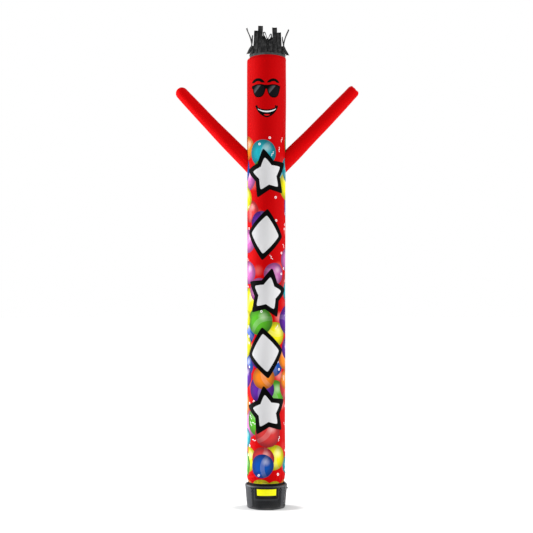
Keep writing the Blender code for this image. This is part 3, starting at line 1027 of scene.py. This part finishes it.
def webbing_material():
    """Ribbed black webbing, its grooves darker than its crests as painted shade."""
    shading = Shading("strap_webbing", 0.75, 0.10)
    across, along = shading.split(shading.flat_cloth())
    rib = shading.wave(across, WEBBING_PITCH)
    height = shading.math("MULTIPLY_ADD", shading.wave(along, WEBBING_ROW), 0.5, rib)
    # Painted shade: the lower the rib, the darker the colour.
    ridge = shading.step(height, -0.6, 1.2)
    shading.put("Base Color", shading.mix(ridge, WEBBING_SHADED_GROOVE, WEBBING_LIT_CREST))
    shading.put("Normal", shading.bump(height, 0.0003, 0.8))
    return shading.material


def plastic_material(name, color, roughness, grain=320.0, dust=0.0, specular=0.4):
    """Moulded plastic with a fine grain, and dust that settles low down."""
    shading = Shading(name, roughness, specular)
    place = shading.object_place()
    fine = shading.noise(place, grain, 2.0)
    worn = shading.noise(place, 9.0, 4.0, 0.6)
    pale = shading.step(worn, 0.35, 0.75)
    base = shading.mix(pale, opaque(color), opaque(shade(color, 1.012)))
    if dust:
        height = shading.node("SeparateXYZ", {0: place}).outputs[2]
        low = shading.times(shading.step(height, 0.09, 0.0), dust)
        low = shading.times(low, shading.step(worn, 0.30, 0.70))
        base = shading.mix(low, base, DUST)
    shading.put("Base Color", base)
    shading.put("Roughness", shading.math("MULTIPLY_ADD", worn, 0.22, roughness - 0.11))
    shading.put("Normal", shading.bump(fine, 0.0003, 0.35))
    return shading.material


# Body


def run_ring(height):
    """Radius and shift of the tube at a height between its cuff and its shoulder."""
    widen = smooth_step(height, *NECK_TO_HEAD)
    return TUBE_RADIUS + (HEAD_RADIUS - TUBE_RADIUS) * widen, TUBE_LEAN * height / RUN_END


def body_rings():
    """Every ring of the tube from the cuff to the rim: height, radius, shift, tilt, dip."""
    rings = [(fold.height, fold.radius, 0.0, fold.tilt, 0.0) for fold in BASE_FOLDS]
    for step in range(RUN_STEPS + 1):
        height = RUN_START + (RUN_END - RUN_START) * step / RUN_STEPS
        rings.append((height, *run_ring(height), 0.0, 0.0))
    for ring in SHOULDER:
        dip = SIDE_DIP * (1.0 - ring.drop / SHOULDER[0].drop)
        rings.append((RIM_HEIGHT - ring.drop, ring.radius, ring.shift, 0.0, dip))
    return rings


def body_rows(ring_count):
    """Where the fine rows lie, counted in rings: close at both ends, wide apart between."""
    rows = [0.0]
    for ring in range(ring_count - 1):
        if ring < len(BASE_FOLDS):
            parts = ROWS_BASE
        elif ring < len(BASE_FOLDS) + RUN_STEPS:
            parts = ROWS_RUN
        else:
            parts = ROWS_SHOULDER
        rows += [ring + (part + 1) / parts for part in range(parts)]
    return rows


def body_relief(angle, height, radius, crease):
    """How far the cloth stands off its ring: pulls, creases, and pleats over the strap."""
    uneven = smooth_step(height, *UNEVEN_IN) - smooth_step(height, *UNEVEN_OUT)
    relief = WOBBLE * uneven * math.sin(2.0 * angle + 4.1 * height)
    relief += 0.7 * WOBBLE * uneven * math.sin(3.0 * angle - 7.3 * height)
    near_strap = smooth_step(height, *PLEATS_IN) * (1.0 - smooth_step(height, *PLEATS_OUT))
    pleat = math.sin(PLEATS * angle + 1.7 * math.sin(5.0 * angle))
    relief += PLEAT_DEPTH * near_strap * pleat
    near_rim = smooth_step(height, *GATHERS_IN) * (1.0 - smooth_step(height, *GATHERS_OUT))
    gather = math.sin(GATHERS * angle + 2.0 * math.sin(3.0 * angle))
    relief += GATHER_DEPTH * near_rim * gather
    spot = ring_point(3.0, angle, 2.2 * height)
    relief += UNEVEN_DEPTH * uneven * noise.noise(spot)
    return relief - crease * crease_depth(BODY_CREASES, radius, angle, height)


def make_body(settings):
    """The printed tube, whole behind the arms that are sewn to it."""
    rings = body_rings()
    heights = [ring[0] for ring in rings]
    rows = body_rows(len(rings))
    girth = math.tau * TUBE_RADIUS

    def ring_at(v):
        return blended(rings, rows[round(v * (len(rows) - 1))], heights)

    def place(u, v):
        angle = math.tau * u + 0.5 * math.pi
        height, radius, shift, tilt, dip = ring_at(v)
        reach = radius + body_relief(angle, height, radius, settings.crease)
        lift = tilt * math.cos(angle) - dip * math.cos(angle) ** 2
        return ring_point(reach, angle, height + lift, shift)

    def measure(u, v):
        return (u - 0.5) * girth, ring_at(v)[0]

    mesh = wrapped(AROUND_BODY, len(rows) - 1, place, measure)
    body = add_piece("body_cloth", mesh, body_material(settings.red))
    thicken(body, settings.thickness)
    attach(body, BODY)
    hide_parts("body_tube")


# Arms


ArmAxes = namedtuple("ArmAxes", "root along above beside")


def arm_axes(arm):
    """An arm's root, and the directions along, above and beside it."""
    slope = math.radians(arm.slope)
    return ArmAxes(
        root=Vector((arm.side * arm.root_x, ARM_SET_BACK, arm.root_z)),
        along=Vector((arm.side * math.cos(slope), 0.0, math.sin(slope))),
        above=Vector((-arm.side * math.sin(slope), 0.0, math.cos(slope))),
        beside=Vector((0.0, -arm.side, 0.0)),
    )


def arm_ring(arm, s):
    """Centre and radius of an arm at a distance from its root."""
    axes = arm_axes(arm)
    t = s / arm.length
    sag = arm.bow * 4.0 * t * (1.0 - t)
    slack = 0.0010 * math.sin(9.0 * s + arm.side)
    radius = ARM_ROOT_RADIUS + (arm.tip_radius - ARM_ROOT_RADIUS) * t + slack
    return axes.root + axes.along * s - axes.above * sag, radius


def arm_start(arm, angle):
    """How far along an arm its surface leaves the body, on one line of it."""
    axes = arm_axes(arm)
    across = axes.above * math.cos(angle) + axes.beside * math.sin(angle)
    low, high = SEAM_BETWEEN
    for _ in range(SEAM_STEPS):
        middle = 0.5 * (low + high)
        center, radius = arm_ring(arm, middle)
        point = center + across * radius
        body_radius, shift = run_ring(point.z)
        if math.hypot(point.x - shift, point.y) < body_radius - SEAM_SINK:
            low = middle
        else:
            high = middle
    return low


def arm_relief(arm, angle, s, start):
    """Puckers at the seam, soft pulls along the arm, and crumples at its tip."""
    from_seam = s - start
    puckers = math.exp(-((from_seam / PUCKER_REACH) ** 2)) * smooth_step(from_seam, 0.0, 0.02)
    relief = PUCKER_DEPTH * puckers * math.sin(PUCKERS * angle + 1.5 * math.sin(3.0 * angle))
    spot = ring_point(2.0, angle, 3.0 * s + 9.0 * arm.side)
    relief += ARM_UNEVEN_DEPTH * noise.noise(spot) * smooth_step(from_seam, 0.0, 0.15)
    twist = math.cos(angle - 1.1 * s - 0.6 * arm.side)
    relief -= ARM_PULL_DEPTH * math.exp(-((twist - 0.25) / 0.16) ** 2)
    tip = smooth_step(s, arm.length - TIP_REACH, arm.length)
    spot = ring_point(3.0, angle, 16.0 * s)
    crumple = SQUARE_TIP_CRUMPLE if arm.square else ROUND_TIP_CRUMPLE
    return relief * (1.0 - 0.8 * tip) - crumple * tip * abs(noise.noise(spot))


def make_arm(arm, settings, paint):
    """A sleeve whose root follows the body's wall, closed round or gathered flat at its tip."""
    axes = arm_axes(arm)
    starts = [arm_start(arm, math.tau * step / AROUND_ARM) for step in range(AROUND_ARM)]
    last = arm.length - CUFF_BACK if arm.square else arm.length
    wide = math.tau * ARM_ROOT_RADIUS

    def place(u, v):
        angle = math.tau * u
        start = starts[round(u * AROUND_ARM) % AROUND_ARM]
        up = axes.above * math.cos(angle)
        out = axes.beside * math.sin(angle)
        if v <= TIP_SHARE:
            t = v / TIP_SHARE
            s = start + (last - start) * (0.45 * t * t + 0.55 * t)
            center, radius = arm_ring(arm, s)
            return center + (up + out) * (radius + arm_relief(arm, angle, s, start))
        t = (v - TIP_SHARE) / (1.0 - TIP_SHARE)
        center, radius = arm_ring(arm, last)
        relief = arm_relief(arm, angle, last, start)
        if arm.square:
            ahead, tall, across = blended(CUFF_END, t * (len(CUFF_END) - 1))
            dent = 0.003 * smooth_step(t, 0.1, 0.6) * (math.sin(5.0 * angle + 1.0) - 1.0)
            push = ahead - CUFF_LIP * smooth_step(t, 0.3, 0.8) * math.sin(angle) + dent
            return center + axes.along * push + (up * tall + out * across) * (radius + relief)
        turn = 0.5 * math.pi * t
        reach = (radius + relief * (1.0 - t)) * math.cos(turn)
        return center + axes.along * radius * math.sin(turn) + (up + out) * reach

    def measure(u, v):
        return (u - 0.5) * wide, v * (arm.length + arm.tip_radius)

    mesh = wrapped(AROUND_ARM, ROWS_ARM, place, measure)
    piece = add_piece(arm.name, mesh, paint, sharp=0.0)
    thicken(piece, settings.thickness)
    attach(piece, BODY)
    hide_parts(arm.node)


# Crown and hair


def make_band(settings, paint):
    """The crown's band, tucked into the rim and slack between its strips."""
    girth = math.tau * BAND_RADIUS
    tall = BAND_TUCK + BAND_RISE

    def place(u, v):
        angle = math.tau * u + 0.5 * math.pi
        free = smooth_step(v, 0.40, 1.0)
        slack = 0.5 * math.sin(23.0 * angle + 2.0 * math.sin(4.0 * angle)) - 0.5
        height = RIM_HEIGHT - BAND_TUCK + tall * v - SIDE_DIP * math.cos(angle) ** 2
        height += BAND_WAVE * free * math.sin(13.0 * angle)
        return ring_point(BAND_RADIUS + BAND_SLACK * free * slack, angle, height, CROWN_SHIFT)

    def measure(u, v):
        return (u - 0.5) * girth, tall * v

    band = add_piece("crown_band", wrapped(AROUND_RING, ROWS_BAND, place, measure), paint)
    thicken(band, settings.thickness)
    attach(band, BODY)
    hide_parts("hair_crown")
    return band


def strip_rows(strip):
    """A strip's rows: a middle point, and the directions across, faced and along there."""
    angle = math.radians(strip.bearing - 90.0)
    outward = Vector((math.cos(angle), math.sin(angle), 0.0))
    along_rim = Vector((-math.sin(angle), math.cos(angle), 0.0))
    base = RIM_HEIGHT + BAND_RISE - STRIP_TUCK - SIDE_DIP * math.cos(angle) ** 2
    point = Vector((CROWN_SHIFT, 0.0, base)) + outward * (BAND_RADIUS + STRIP_SET_OUT)
    upright = Vector((0.0, 0.0, 1.0))
    upright.rotate(Matrix.Rotation(math.radians(-strip.drift), 3, outward))
    upright.rotate(Matrix.Rotation(math.radians(strip.lean), 3, along_rim))
    rows = []
    last = 0.0
    for row in range(HAIR_ROWS + 1):
        share = row / HAIR_ROWS
        twist = math.radians(strip.turn) * smooth_step(share, strip.turn_from, strip.turn_to)
        across = along_rim.copy()
        across.rotate(Matrix.Rotation(twist, 3, upright))
        across = (across - upright * across.dot(upright)).normalized()
        folded = (0.5 * (share + last) - strip.fold_from) / (strip.fold_to - strip.fold_from)
        heading = upright.copy()
        fold = math.radians(strip.bend) * min(1.0, max(0.0, folded))
        heading.rotate(Matrix.Rotation(fold, 3, across))
        point = point + heading * (share - last) * strip.length
        rows.append((point, across, across.cross(heading).normalized(), heading))
        last = share
    return rows


def make_strips(settings, paint):
    """The hair: cut strips, cupped and a little wavy, with raw ends."""
    hair = bmesh.new()
    flat = hair.loops.layers.uv.new("flat_cloth")
    for number, strip in enumerate(STRIPS):
        draw = random.Random(100 + number)
        rows = strip_rows(strip)
        phase = draw.uniform(0.0, math.tau)
        pace = draw.uniform(*STRIP_PACE)
        ragged = [draw.uniform(*STRIP_RAGGED) for _ in range(HAIR_COLUMNS + 1)]
        verts = bmesh.ops.create_grid(
            hair, x_segments=HAIR_COLUMNS, y_segments=HAIR_ROWS, size=0.5
        )["verts"]
        for face in {face for vert in verts for face in vert.link_faces}:
            for loop in face.loops:
                x, y = loop.vert.co.xy
                loop[flat].uv = (x * STRIP_WIDTH + number, (y - 0.5) * strip.length)
        for vert in verts:
            u, v = vert.co.x + 0.5, vert.co.y + 0.5
            point, across, facing, heading = rows[round(v * HAIR_ROWS)]
            free = smooth_step(v, 0.05, 0.45)
            side = 2.0 * u - 1.0
            cup = settings.cup * free * (side * side - 0.4)
            swing = math.sin(pace * strip.length * v * 2.0 + phase + 0.8 * side)
            end = ragged[round(u * HAIR_COLUMNS)] * smooth_step(v, 0.94, 1.0)
            width = STRIP_WIDTH * (1.0 - 0.05 * free * math.sin(6.0 * v + phase) ** 2)
            spot = Vector((40.0 * u * STRIP_WIDTH, 14.0 * v * strip.length, 7.0 * number))
            crumple = STRIP_CRUMPLE * free * noise.noise(spot)
            vert.co = point + across * (u - 0.5) * width
            vert.co += facing * (cup + STRIP_WAVE * free * swing + crumple) + heading * end
    piece = add_piece("hair_strips", hair, paint, sharp=0.0)
    thicken(piece, settings.thickness, 0.0)
    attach(piece, BODY)
    return piece


# Strap


def make_strap(paint):
    """The webbing strap, once round the cuff."""
    girth = math.tau * STRAP_RADIUS
    wide = STRAP_HIGH - STRAP_LOW

    def place(u, v):
        angle = math.tau * u + 0.5 * math.pi
        height = STRAP_LOW + wide * v + 0.0006 * math.sin(3.0 * angle)
        return ring_point(STRAP_RADIUS + STRAP_SET_OUT, angle, height)

    def measure(u, v):
        return v * wide, u * girth

    strap = add_piece("strap_loop", wrapped(AROUND_RING, ROWS_STRAP, place, measure), paint)
    thicken(strap, STRAP_THICK)
    rounded_edges(strap, 0.0006)
    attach(strap, BODY)
    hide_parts("base_strap")


def make_tail(paint):
    """The strap's free end, past the buckle."""
    wide = TAIL_WIDTH * (STRAP_HIGH - STRAP_LOW)
    start = math.radians(TAIL_FROM)
    turn = math.radians(TAIL_TO) - start
    length = turn * (STRAP_RADIUS + 0.006)

    def place(u, v):
        radius = STRAP_RADIUS + TAIL_SET_OUT + 0.0022 * v * math.sin(4.0 * v) ** 2
        height = STRAP_LOW + 0.001 + wide * u - 0.004 * v * v
        return ring_point(radius, start + turn * v, height)

    def measure(u, v):
        return u * wide, v * length

    mesh = wrapped(*TAIL_GRID, place, measure)
    bmesh.ops.reverse_faces(mesh, faces=mesh.faces)
    tail = add_piece("strap_tail", mesh, paint)
    thicken(tail, TAIL_THICK)
    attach(tail, BODY)


def make_buckle(paint):
    """A cam buckle: a frame with a lever across it."""
    low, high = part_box("strap_buckle")
    center = 0.5 * (low + high)
    mesh = bmesh.new()
    scaled_cube(mesh, BUCKLE_SIZE)
    outer = [face for face in mesh.faces if abs(face.normal.x) > 0.9]
    bmesh.ops.inset_individual(mesh, faces=outer, thickness=BUCKLE_BAR, use_even_offset=True)
    inner = [face for face in mesh.faces if abs(face.normal.x) > 0.9]
    holes = sorted(inner, key=lambda face: face.calc_center_median().yz.length)[:2]
    bmesh.ops.bridge_loops(mesh, edges=[edge for face in holes for edge in face.edges])
    bmesh.ops.delete(mesh, geom=holes, context="FACES_ONLY")
    lever = scaled_cube(mesh, LEVER_SIZE)
    bmesh.ops.rotate(mesh, verts=lever, matrix=Matrix.Rotation(LEVER_TURN, 3, "Z"))
    bmesh.ops.translate(mesh, verts=lever, vec=LEVER_PLACE)
    facing = Matrix.Rotation(math.atan2(center.y, center.x), 3, "Z")
    bmesh.ops.rotate(mesh, verts=mesh.verts, matrix=facing)
    bmesh.ops.translate(mesh, verts=mesh.verts, vec=center)
    bmesh.ops.recalc_face_normals(mesh, faces=mesh.faces)
    buckle = add_piece("cam_buckle", mesh, paint)
    rounded_edges(buckle, 0.0009)
    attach(buckle, BODY)
    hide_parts("strap_buckle")


# Blower


def wall_radius(height):
    """Outer radius of the blower's tapered wall."""
    return WALL_BOTTOM_RADIUS + (WALL_TOP_RADIUS - WALL_BOTTOM_RADIUS) * height / WALL_TOP


def in_bay(bearing, height):
    """Whether the wall is perforated there, which it isn't behind the label."""
    off = abs((bearing - LABEL_BEARING + 180.0) % 360.0 - 180.0)
    beside = LABEL_BOX[0].z - LABEL_MARGIN < height < LABEL_BOX[1].z + LABEL_MARGIN
    if beside and off < LABEL_HALF_SPAN + LABEL_MARGIN_DEGREES:
        return False
    return any(
        bay.start <= bearing + turn <= bay.end for bay in BAYS for turn in (-360.0, 0.0, 360.0)
    )


def make_wall(settings, paint):
    """The tapered wall: a lattice turned by 45 degrees, holed in its bays and wrapped round."""
    cells = HOLE_COLUMNS + HOLE_ROWS_ABOVE + 2
    mesh = bmesh.new()
    bmesh.ops.create_grid(mesh, x_segments=cells, y_segments=cells, size=0.5 * cells)
    turn = Matrix.Rotation(math.radians(45.0), 3, "Z") * math.sqrt(2.0)
    bmesh.ops.transform(mesh, matrix=turn.to_4x4(), verts=mesh.verts)
    limits = (
        ((HOLE_COLUMNS, 0, 0), (1, 0, 0)),
        ((-HOLE_COLUMNS, 0, 0), (-1, 0, 0)),
        ((0, HOLE_ROWS_ABOVE, 0), (0, 1, 0)),
        ((0, -HOLE_ROWS_BELOW, 0), (0, -1, 0)),
    )
    for place, normal in limits:
        bmesh.ops.bisect_plane(
            mesh,
            geom=mesh.verts[:] + mesh.edges[:] + mesh.faces[:],
            dist=0.0001,
            plane_co=place,
            plane_no=normal,
            clear_outer=True,
        )
    row_height = (WALL_TOP - CORNER) / (HOLE_ROWS_ABOVE + HOLE_ROWS_BELOW)
    column_angle = math.pi / HOLE_COLUMNS
    unit = 0.5 * (row_height + wall_radius(0.5 * WALL_TOP) * column_angle)

    def height_of(y):
        return CORNER + (y + HOLE_ROWS_BELOW) * row_height

    # A whole cell has an area of 2: the cells that the edges cut are smaller.
    holed = []
    for face in mesh.faces:
        center = face.calc_center_median()
        bearing = 90.0 + math.degrees(center.x * column_angle)
        whole = len(face.verts) == 4 and face.calc_area() > 1.9
        if whole and in_bay(bearing, height_of(center.y)):
            holed.append(face)
    bar = math.sqrt(0.5) - settings.hole_radius / unit
    bmesh.ops.inset_individual(mesh, faces=holed, thickness=bar, use_even_offset=True)
    corners = list({vert for face in holed for vert in face.verts})
    for face in holed:
        face.material_index = 1
    bmesh.ops.bevel(
        mesh,
        geom=corners,
        offset=HOLE_CUT * settings.hole_radius / unit,
        offset_type="OFFSET",
        segments=1,
        profile=0.5,
        affect="VERTICES",
        material=-1,
    )
    holed = [face for face in mesh.faces if face.material_index == 1 and len(face.verts) == 8]
    bmesh.ops.inset_individual(
        mesh, faces=holed, thickness=LIP_WIDTH, depth=LIP_DEPTH, use_even_offset=True
    )
    bmesh.ops.delete(mesh, geom=holed, context="FACES")
    for face in mesh.faces:
        face.material_index = 0
    for vert in mesh.verts:
        height = height_of(vert.co.y)
        radius = wall_radius(height) + vert.co.z * unit
        vert.co = ring_point(radius, vert.co.x * column_angle, height)
    bmesh.ops.remove_doubles(mesh, verts=mesh.verts, dist=MERGE)
    wall = add_piece("blower_wall", mesh, paint, sharp=25.0)
    for edge in wall.data.edges:
        heights = [wall.data.vertices[index].co.z for index in edge.vertices]
        if min(heights) > WALL_TOP - 0.0001 or max(heights) < CORNER + 0.0001:
            edge.use_edge_sharp = True
    thicken(wall, settings.wall)
    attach(wall, BODY)
    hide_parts("blower_housing")


def make_rim(paint):
    """The rolled rim round the sunken deck, with a bead where it meets the wall."""
    roll = RIM_TOP - WALL_TOP
    crest = WALL_TOP_RADIUS - 0.5 * roll
    profile = [
        (RIM_INNER_RADIUS, DECK_BOTTOM),
        (RIM_INNER_RADIUS, RIM_TOP - 0.004),
        (RIM_INNER_RADIUS + 0.0012, RIM_TOP - 0.0012),
        (RIM_INNER_RADIUS + 0.004, RIM_TOP),
        *arc(crest, WALL_TOP, 0.5 * roll, roll, 85.0, 6.0, 9),
        (WALL_TOP_RADIUS + 0.0003, WALL_TOP + 0.0004),
        (WALL_TOP_RADIUS - 0.0030, WALL_TOP + 0.0004),
        (WALL_TOP_RADIUS - 0.0060, DECK_BOTTOM),
    ]
    rim = add_piece("blower_rim", turned(profile, closed=True), paint, sharp=50.0)
    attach(rim, BODY)


def make_foot(settings, paint):
    """The bottom of the tub, rounded up into the wall."""
    radius = wall_radius(CORNER)
    profile = [
        (radius - settings.wall, CORNER + 0.002),
        (radius, CORNER + 0.0004),
        *arc(radius - CORNER, CORNER, CORNER, CORNER, 0.0, -60.0, 8),
        (BASE_RADIUS, 0.0),
        (0.06, 0.0),
        (0.0, 0.0),
        (0.0, 0.004),
        (BASE_RADIUS - 0.01, 0.004),
    ]
    foot = add_piece("blower_foot", turned(profile, closed=True), paint)
    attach(foot, BODY)


def make_drum(paint):
    """The fan's drum, which shows dark through the perforations: its near-black colour is painted
    shade inside the holes.
    """
    high = DECK_BOTTOM - 0.0006
    profile = [
        (0.0, high),
        (DRUM_RADIUS - 0.006, high),
        (DRUM_RADIUS, high - 0.006),
        (wall_radius(DRUM_LOW) - DRUM_INSIDE_WALL, DRUM_LOW),
        (0.0, DRUM_LOW),
    ]
    drum = add_piece("fan_drum", turned(profile, steps=DRUM_STEPS), paint)
    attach(drum, BODY)


def make_knob(paint):
    """A fluted knob, at the right below the rim."""
    low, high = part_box("side_knob")
    radius = 0.5 * (high.z - low.z)
    mesh = bmesh.new()
    made = bmesh.ops.create_cone(
        mesh,
        cap_ends=True,
        segments=KNOB_SEGMENTS,
        radius1=radius,
        radius2=radius,
        depth=high.x - low.x,
    )
    for vert in made["verts"]:
        turn = math.atan2(vert.co.y, vert.co.x)
        if round(turn / (math.tau / KNOB_SEGMENTS)) % 3 == 0:
            vert.co.xy *= KNOB_FLUTE
    caps = [face for face in mesh.faces if face.normal.z > 0.9]
    bmesh.ops.inset_individual(mesh, faces=caps, thickness=0.003, depth=0.0)
    bmesh.ops.inset_individual(mesh, faces=caps, thickness=0.0006, depth=-0.001)
    bmesh.ops.rotate(mesh, verts=mesh.verts, matrix=Matrix.Rotation(0.5 * math.pi, 3, "Y"))
    bmesh.ops.translate(mesh, verts=mesh.verts, vec=0.5 * (low + high))
    knob = add_piece("clamp_knob", mesh, paint)
    rounded_edges(knob, 0.0006)
    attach(knob, BODY)
    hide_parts("side_knob")


def repaint(node, paint):
    """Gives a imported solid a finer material."""
    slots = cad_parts[node].data.materials
    slots.clear()
    slots.append(paint)


# Stage


def make_floor(settings):
    """A wide pale floor whose painted glow, seen only by the camera, fades it into the surround
    outside a soft shadow.
    """
    mesh = bmesh.new()
    bmesh.ops.create_circle(mesh, cap_ends=True, segments=96, radius=FLOOR_RADIUS)
    shading = Shading("pale_floor", 0.9, 0.1)
    place = shading.object_place()
    tone = shading.noise(place, 0.7, 3.0)
    color = shading.mix(tone, opaque(shade(settings.floor, 0.985)), opaque(settings.floor))
    shading.put("Base Color", color)
    pool = shading.distance(shading.placed(place, *SHADOW_POOL))
    # Painted glow: outside the pool the floor gives off light for camera rays only, so it reads
    # white there.
    glow = shading.times(shading.step(pool, 0.70, 1.05), 0.35)
    seen = shading.node("LightPath").outputs["Is Camera Ray"]
    shading.put("Emission Color", opaque(WHITE))
    shading.put("Emission Strength", shading.times(seen, glow))
    floor = add_piece("floor", mesh, shading.material, sharp=0.0)


def add_light(light, power):
    """A soft rectangular light, aimed at the part's axis."""
    data = bpy.data.lights.new(light.name, "AREA")
    data.shape = "RECTANGLE"
    data.size = light.wide
    data.size_y = light.tall
    data.energy = power
    data.color = light.color
    aim = Vector((0.0, 0.0, light.aim)) - Vector(light.place)
    lamp = bpy.data.objects.new(light.name, data)
    lamp.location = light.place
    lamp.rotation_euler = aim.to_track_quat("-Z", "Y").to_euler()
    bpy.context.scene.collection.objects.link(lamp)


def make_world():
    """A white surround that is seen at full strength and lights the part more softly."""
    world = bpy.data.worlds.new("studio")
    world.use_nodes = True
    tree = world.node_tree
    background = tree.nodes["Background"]
    background.inputs["Color"].default_value = opaque(WHITE)
    path = tree.nodes.new("ShaderNodeLightPath")
    strength = tree.nodes.new("ShaderNodeMapRange")
    strength.inputs["To Min"].default_value = SURROUND_LIGHT
    strength.inputs["To Max"].default_value = 1.0
    tree.links.new(path.outputs["Is Camera Ray"], strength.inputs["Value"])
    tree.links.new(strength.outputs[0], background.inputs["Strength"])
    bpy.context.scene.world = world


def make_camera():
    """A level camera in front of the figure."""
    data = bpy.data.cameras.new("camera")
    data.lens = CAMERA_LENS
    data.sensor_width = CAMERA_SENSOR
    camera = bpy.data.objects.new("camera", data)
    camera.location = CAMERA_PLACE
    camera.rotation_euler = (0.5 * math.pi, 0.0, 0.0)
    bpy.context.scene.collection.objects.link(camera)
    bpy.context.scene.camera = camera


# Operators


class AIRDANCER_OT_body(bpy.types.Operator):
    """Make the printed body tube"""

    bl_idname = "airdancer.body"
    bl_label = "Body Tube"

    def execute(self, context):
        make_body(context.scene.airdancer_cloth)
        return {"FINISHED"}


class AIRDANCER_OT_arms(bpy.types.Operator):
    """Make both arms, sewn to the body"""

    bl_idname = "airdancer.arms"
    bl_label = "Arms"

    def execute(self, context):
        settings = context.scene.airdancer_cloth
        # The arms' red is the tube's, made brighter as painted light.
        paint = arm_material(settings.sleeve_painted_light)
        for arm in ARMS:
            make_arm(arm, settings, paint)
        return {"FINISHED"}


class AIRDANCER_OT_hair(bpy.types.Operator):
    """Make the crown's band and its hair strips"""

    bl_idname = "airdancer.hair"
    bl_label = "Crown and Hair"

    def execute(self, context):
        settings = context.scene.airdancer_hair
        band = make_band(settings, hair_material("crown_nylon", settings.band, 0.42))
        nylon = hair_material("hair_nylon", settings.black, 0.66, darker_edges=True)
        strips = make_strips(settings, nylon)
        return {"FINISHED"}


class AIRDANCER_OT_strap(bpy.types.Operator):
    """Make the strap, its free end and its buckle"""

    bl_idname = "airdancer.strap"
    bl_label = "Strap"

    def execute(self, context):
        webbing = webbing_material()
        make_strap(webbing)
        make_tail(webbing)
        make_buckle(plastic_material("buckle_plastic", BUCKLE_BLACK, 0.40))
        return {"FINISHED"}


class AIRDANCER_OT_blower(bpy.types.Operator):
    """Make the perforated blower with its rim, foot, deck, label and knob"""

    bl_idname = "airdancer.blower"
    bl_label = "Blower"

    def execute(self, context):
        settings = context.scene.airdancer_blower
        black = settings.black
        shell = plastic_material("moulded_shell", black, 0.42, dust=0.25, specular=0.25)
        make_wall(settings, shell)
        make_rim(shell)
        make_foot(settings, shell)
        # Painted shade: the drum is a tenth as bright as the shell, so the holes look dark.
        make_drum(plastic_material("drum_plastic", shade(black, 0.10), 0.70, specular=0.02))
        make_knob(plastic_material("knob_plastic", shade(black, 0.2), 0.38))
        film = plastic_material("label_film", shade(black, 0.12), 0.34, grain=90.0, specular=0.12)
        panel = plastic_material("panel_film", settings.yellow, 0.36, grain=90.0, specular=0.15)
        repaint("outlet_deck", shell)
        repaint("label_plate", film)
        repaint("label_panel", panel)
        return {"FINISHED"}


class AIRDANCER_OT_stage(bpy.types.Operator):
    """Make the floor, the studio lights and the camera"""

    bl_idname = "airdancer.stage"
    bl_label = "Stage"

    def execute(self, context):
        settings = context.scene.airdancer_stage
        make_floor(settings)
        make_world()
        for light in LIGHTS:
            add_light(light, getattr(settings, light.power))
        make_camera()
        context.scene.view_settings.view_transform = "Standard"
        return {"FINISHED"}


class AIRDANCER_PT_panel(bpy.types.Panel):
    """Lists the pieces of the air dancer"""

    bl_idname = "AIRDANCER_PT_panel"
    bl_label = "Air Dancer"
    bl_space_type = "VIEW_3D"
    bl_region_type = "UI"
    bl_category = "Air Dancer"

    def draw(self, context):
        for settings, operators in GROUPS:
            box = self.layout.box()
            for operator in operators:
                box.operator(operator.bl_idname)
            values = getattr(context.scene, settings)
            for name in values.__annotations__:
                box.prop(values, name)


GROUPS = (
    ("airdancer_stage", (AIRDANCER_OT_stage,)),
    ("airdancer_cloth", (AIRDANCER_OT_body, AIRDANCER_OT_arms)),
    ("airdancer_hair", (AIRDANCER_OT_hair,)),
    ("airdancer_blower", (AIRDANCER_OT_strap, AIRDANCER_OT_blower)),
)
SETTINGS = {
    "airdancer_cloth": ClothSettings,
    "airdancer_hair": HairSettings,
    "airdancer_blower": BlowerSettings,
    "airdancer_stage": StageSettings,
}
CLASSES = (
    ClothSettings,
    HairSettings,
    BlowerSettings,
    StageSettings,
    AIRDANCER_OT_stage,
    AIRDANCER_OT_body,
    AIRDANCER_OT_arms,
    AIRDANCER_OT_hair,
    AIRDANCER_OT_strap,
    AIRDANCER_OT_blower,
    AIRDANCER_PT_panel,
)


def register():
    for made in CLASSES:
        bpy.utils.register_class(made)
    for name, group in SETTINGS.items():
        setattr(bpy.types.Scene, name, bpy.props.PointerProperty(type=group))


def unregister():
    for name in SETTINGS:
        delattr(bpy.types.Scene, name)
    for made in reversed(CLASSES):
        bpy.utils.unregister_class(made)


def main():
    register()
    for settings, operators in GROUPS:
        for operator in operators:
            group, name = operator.bl_idname.split(".")
            getattr(getattr(bpy.ops, group), name)()


if __name__ == "__main__":
    main()
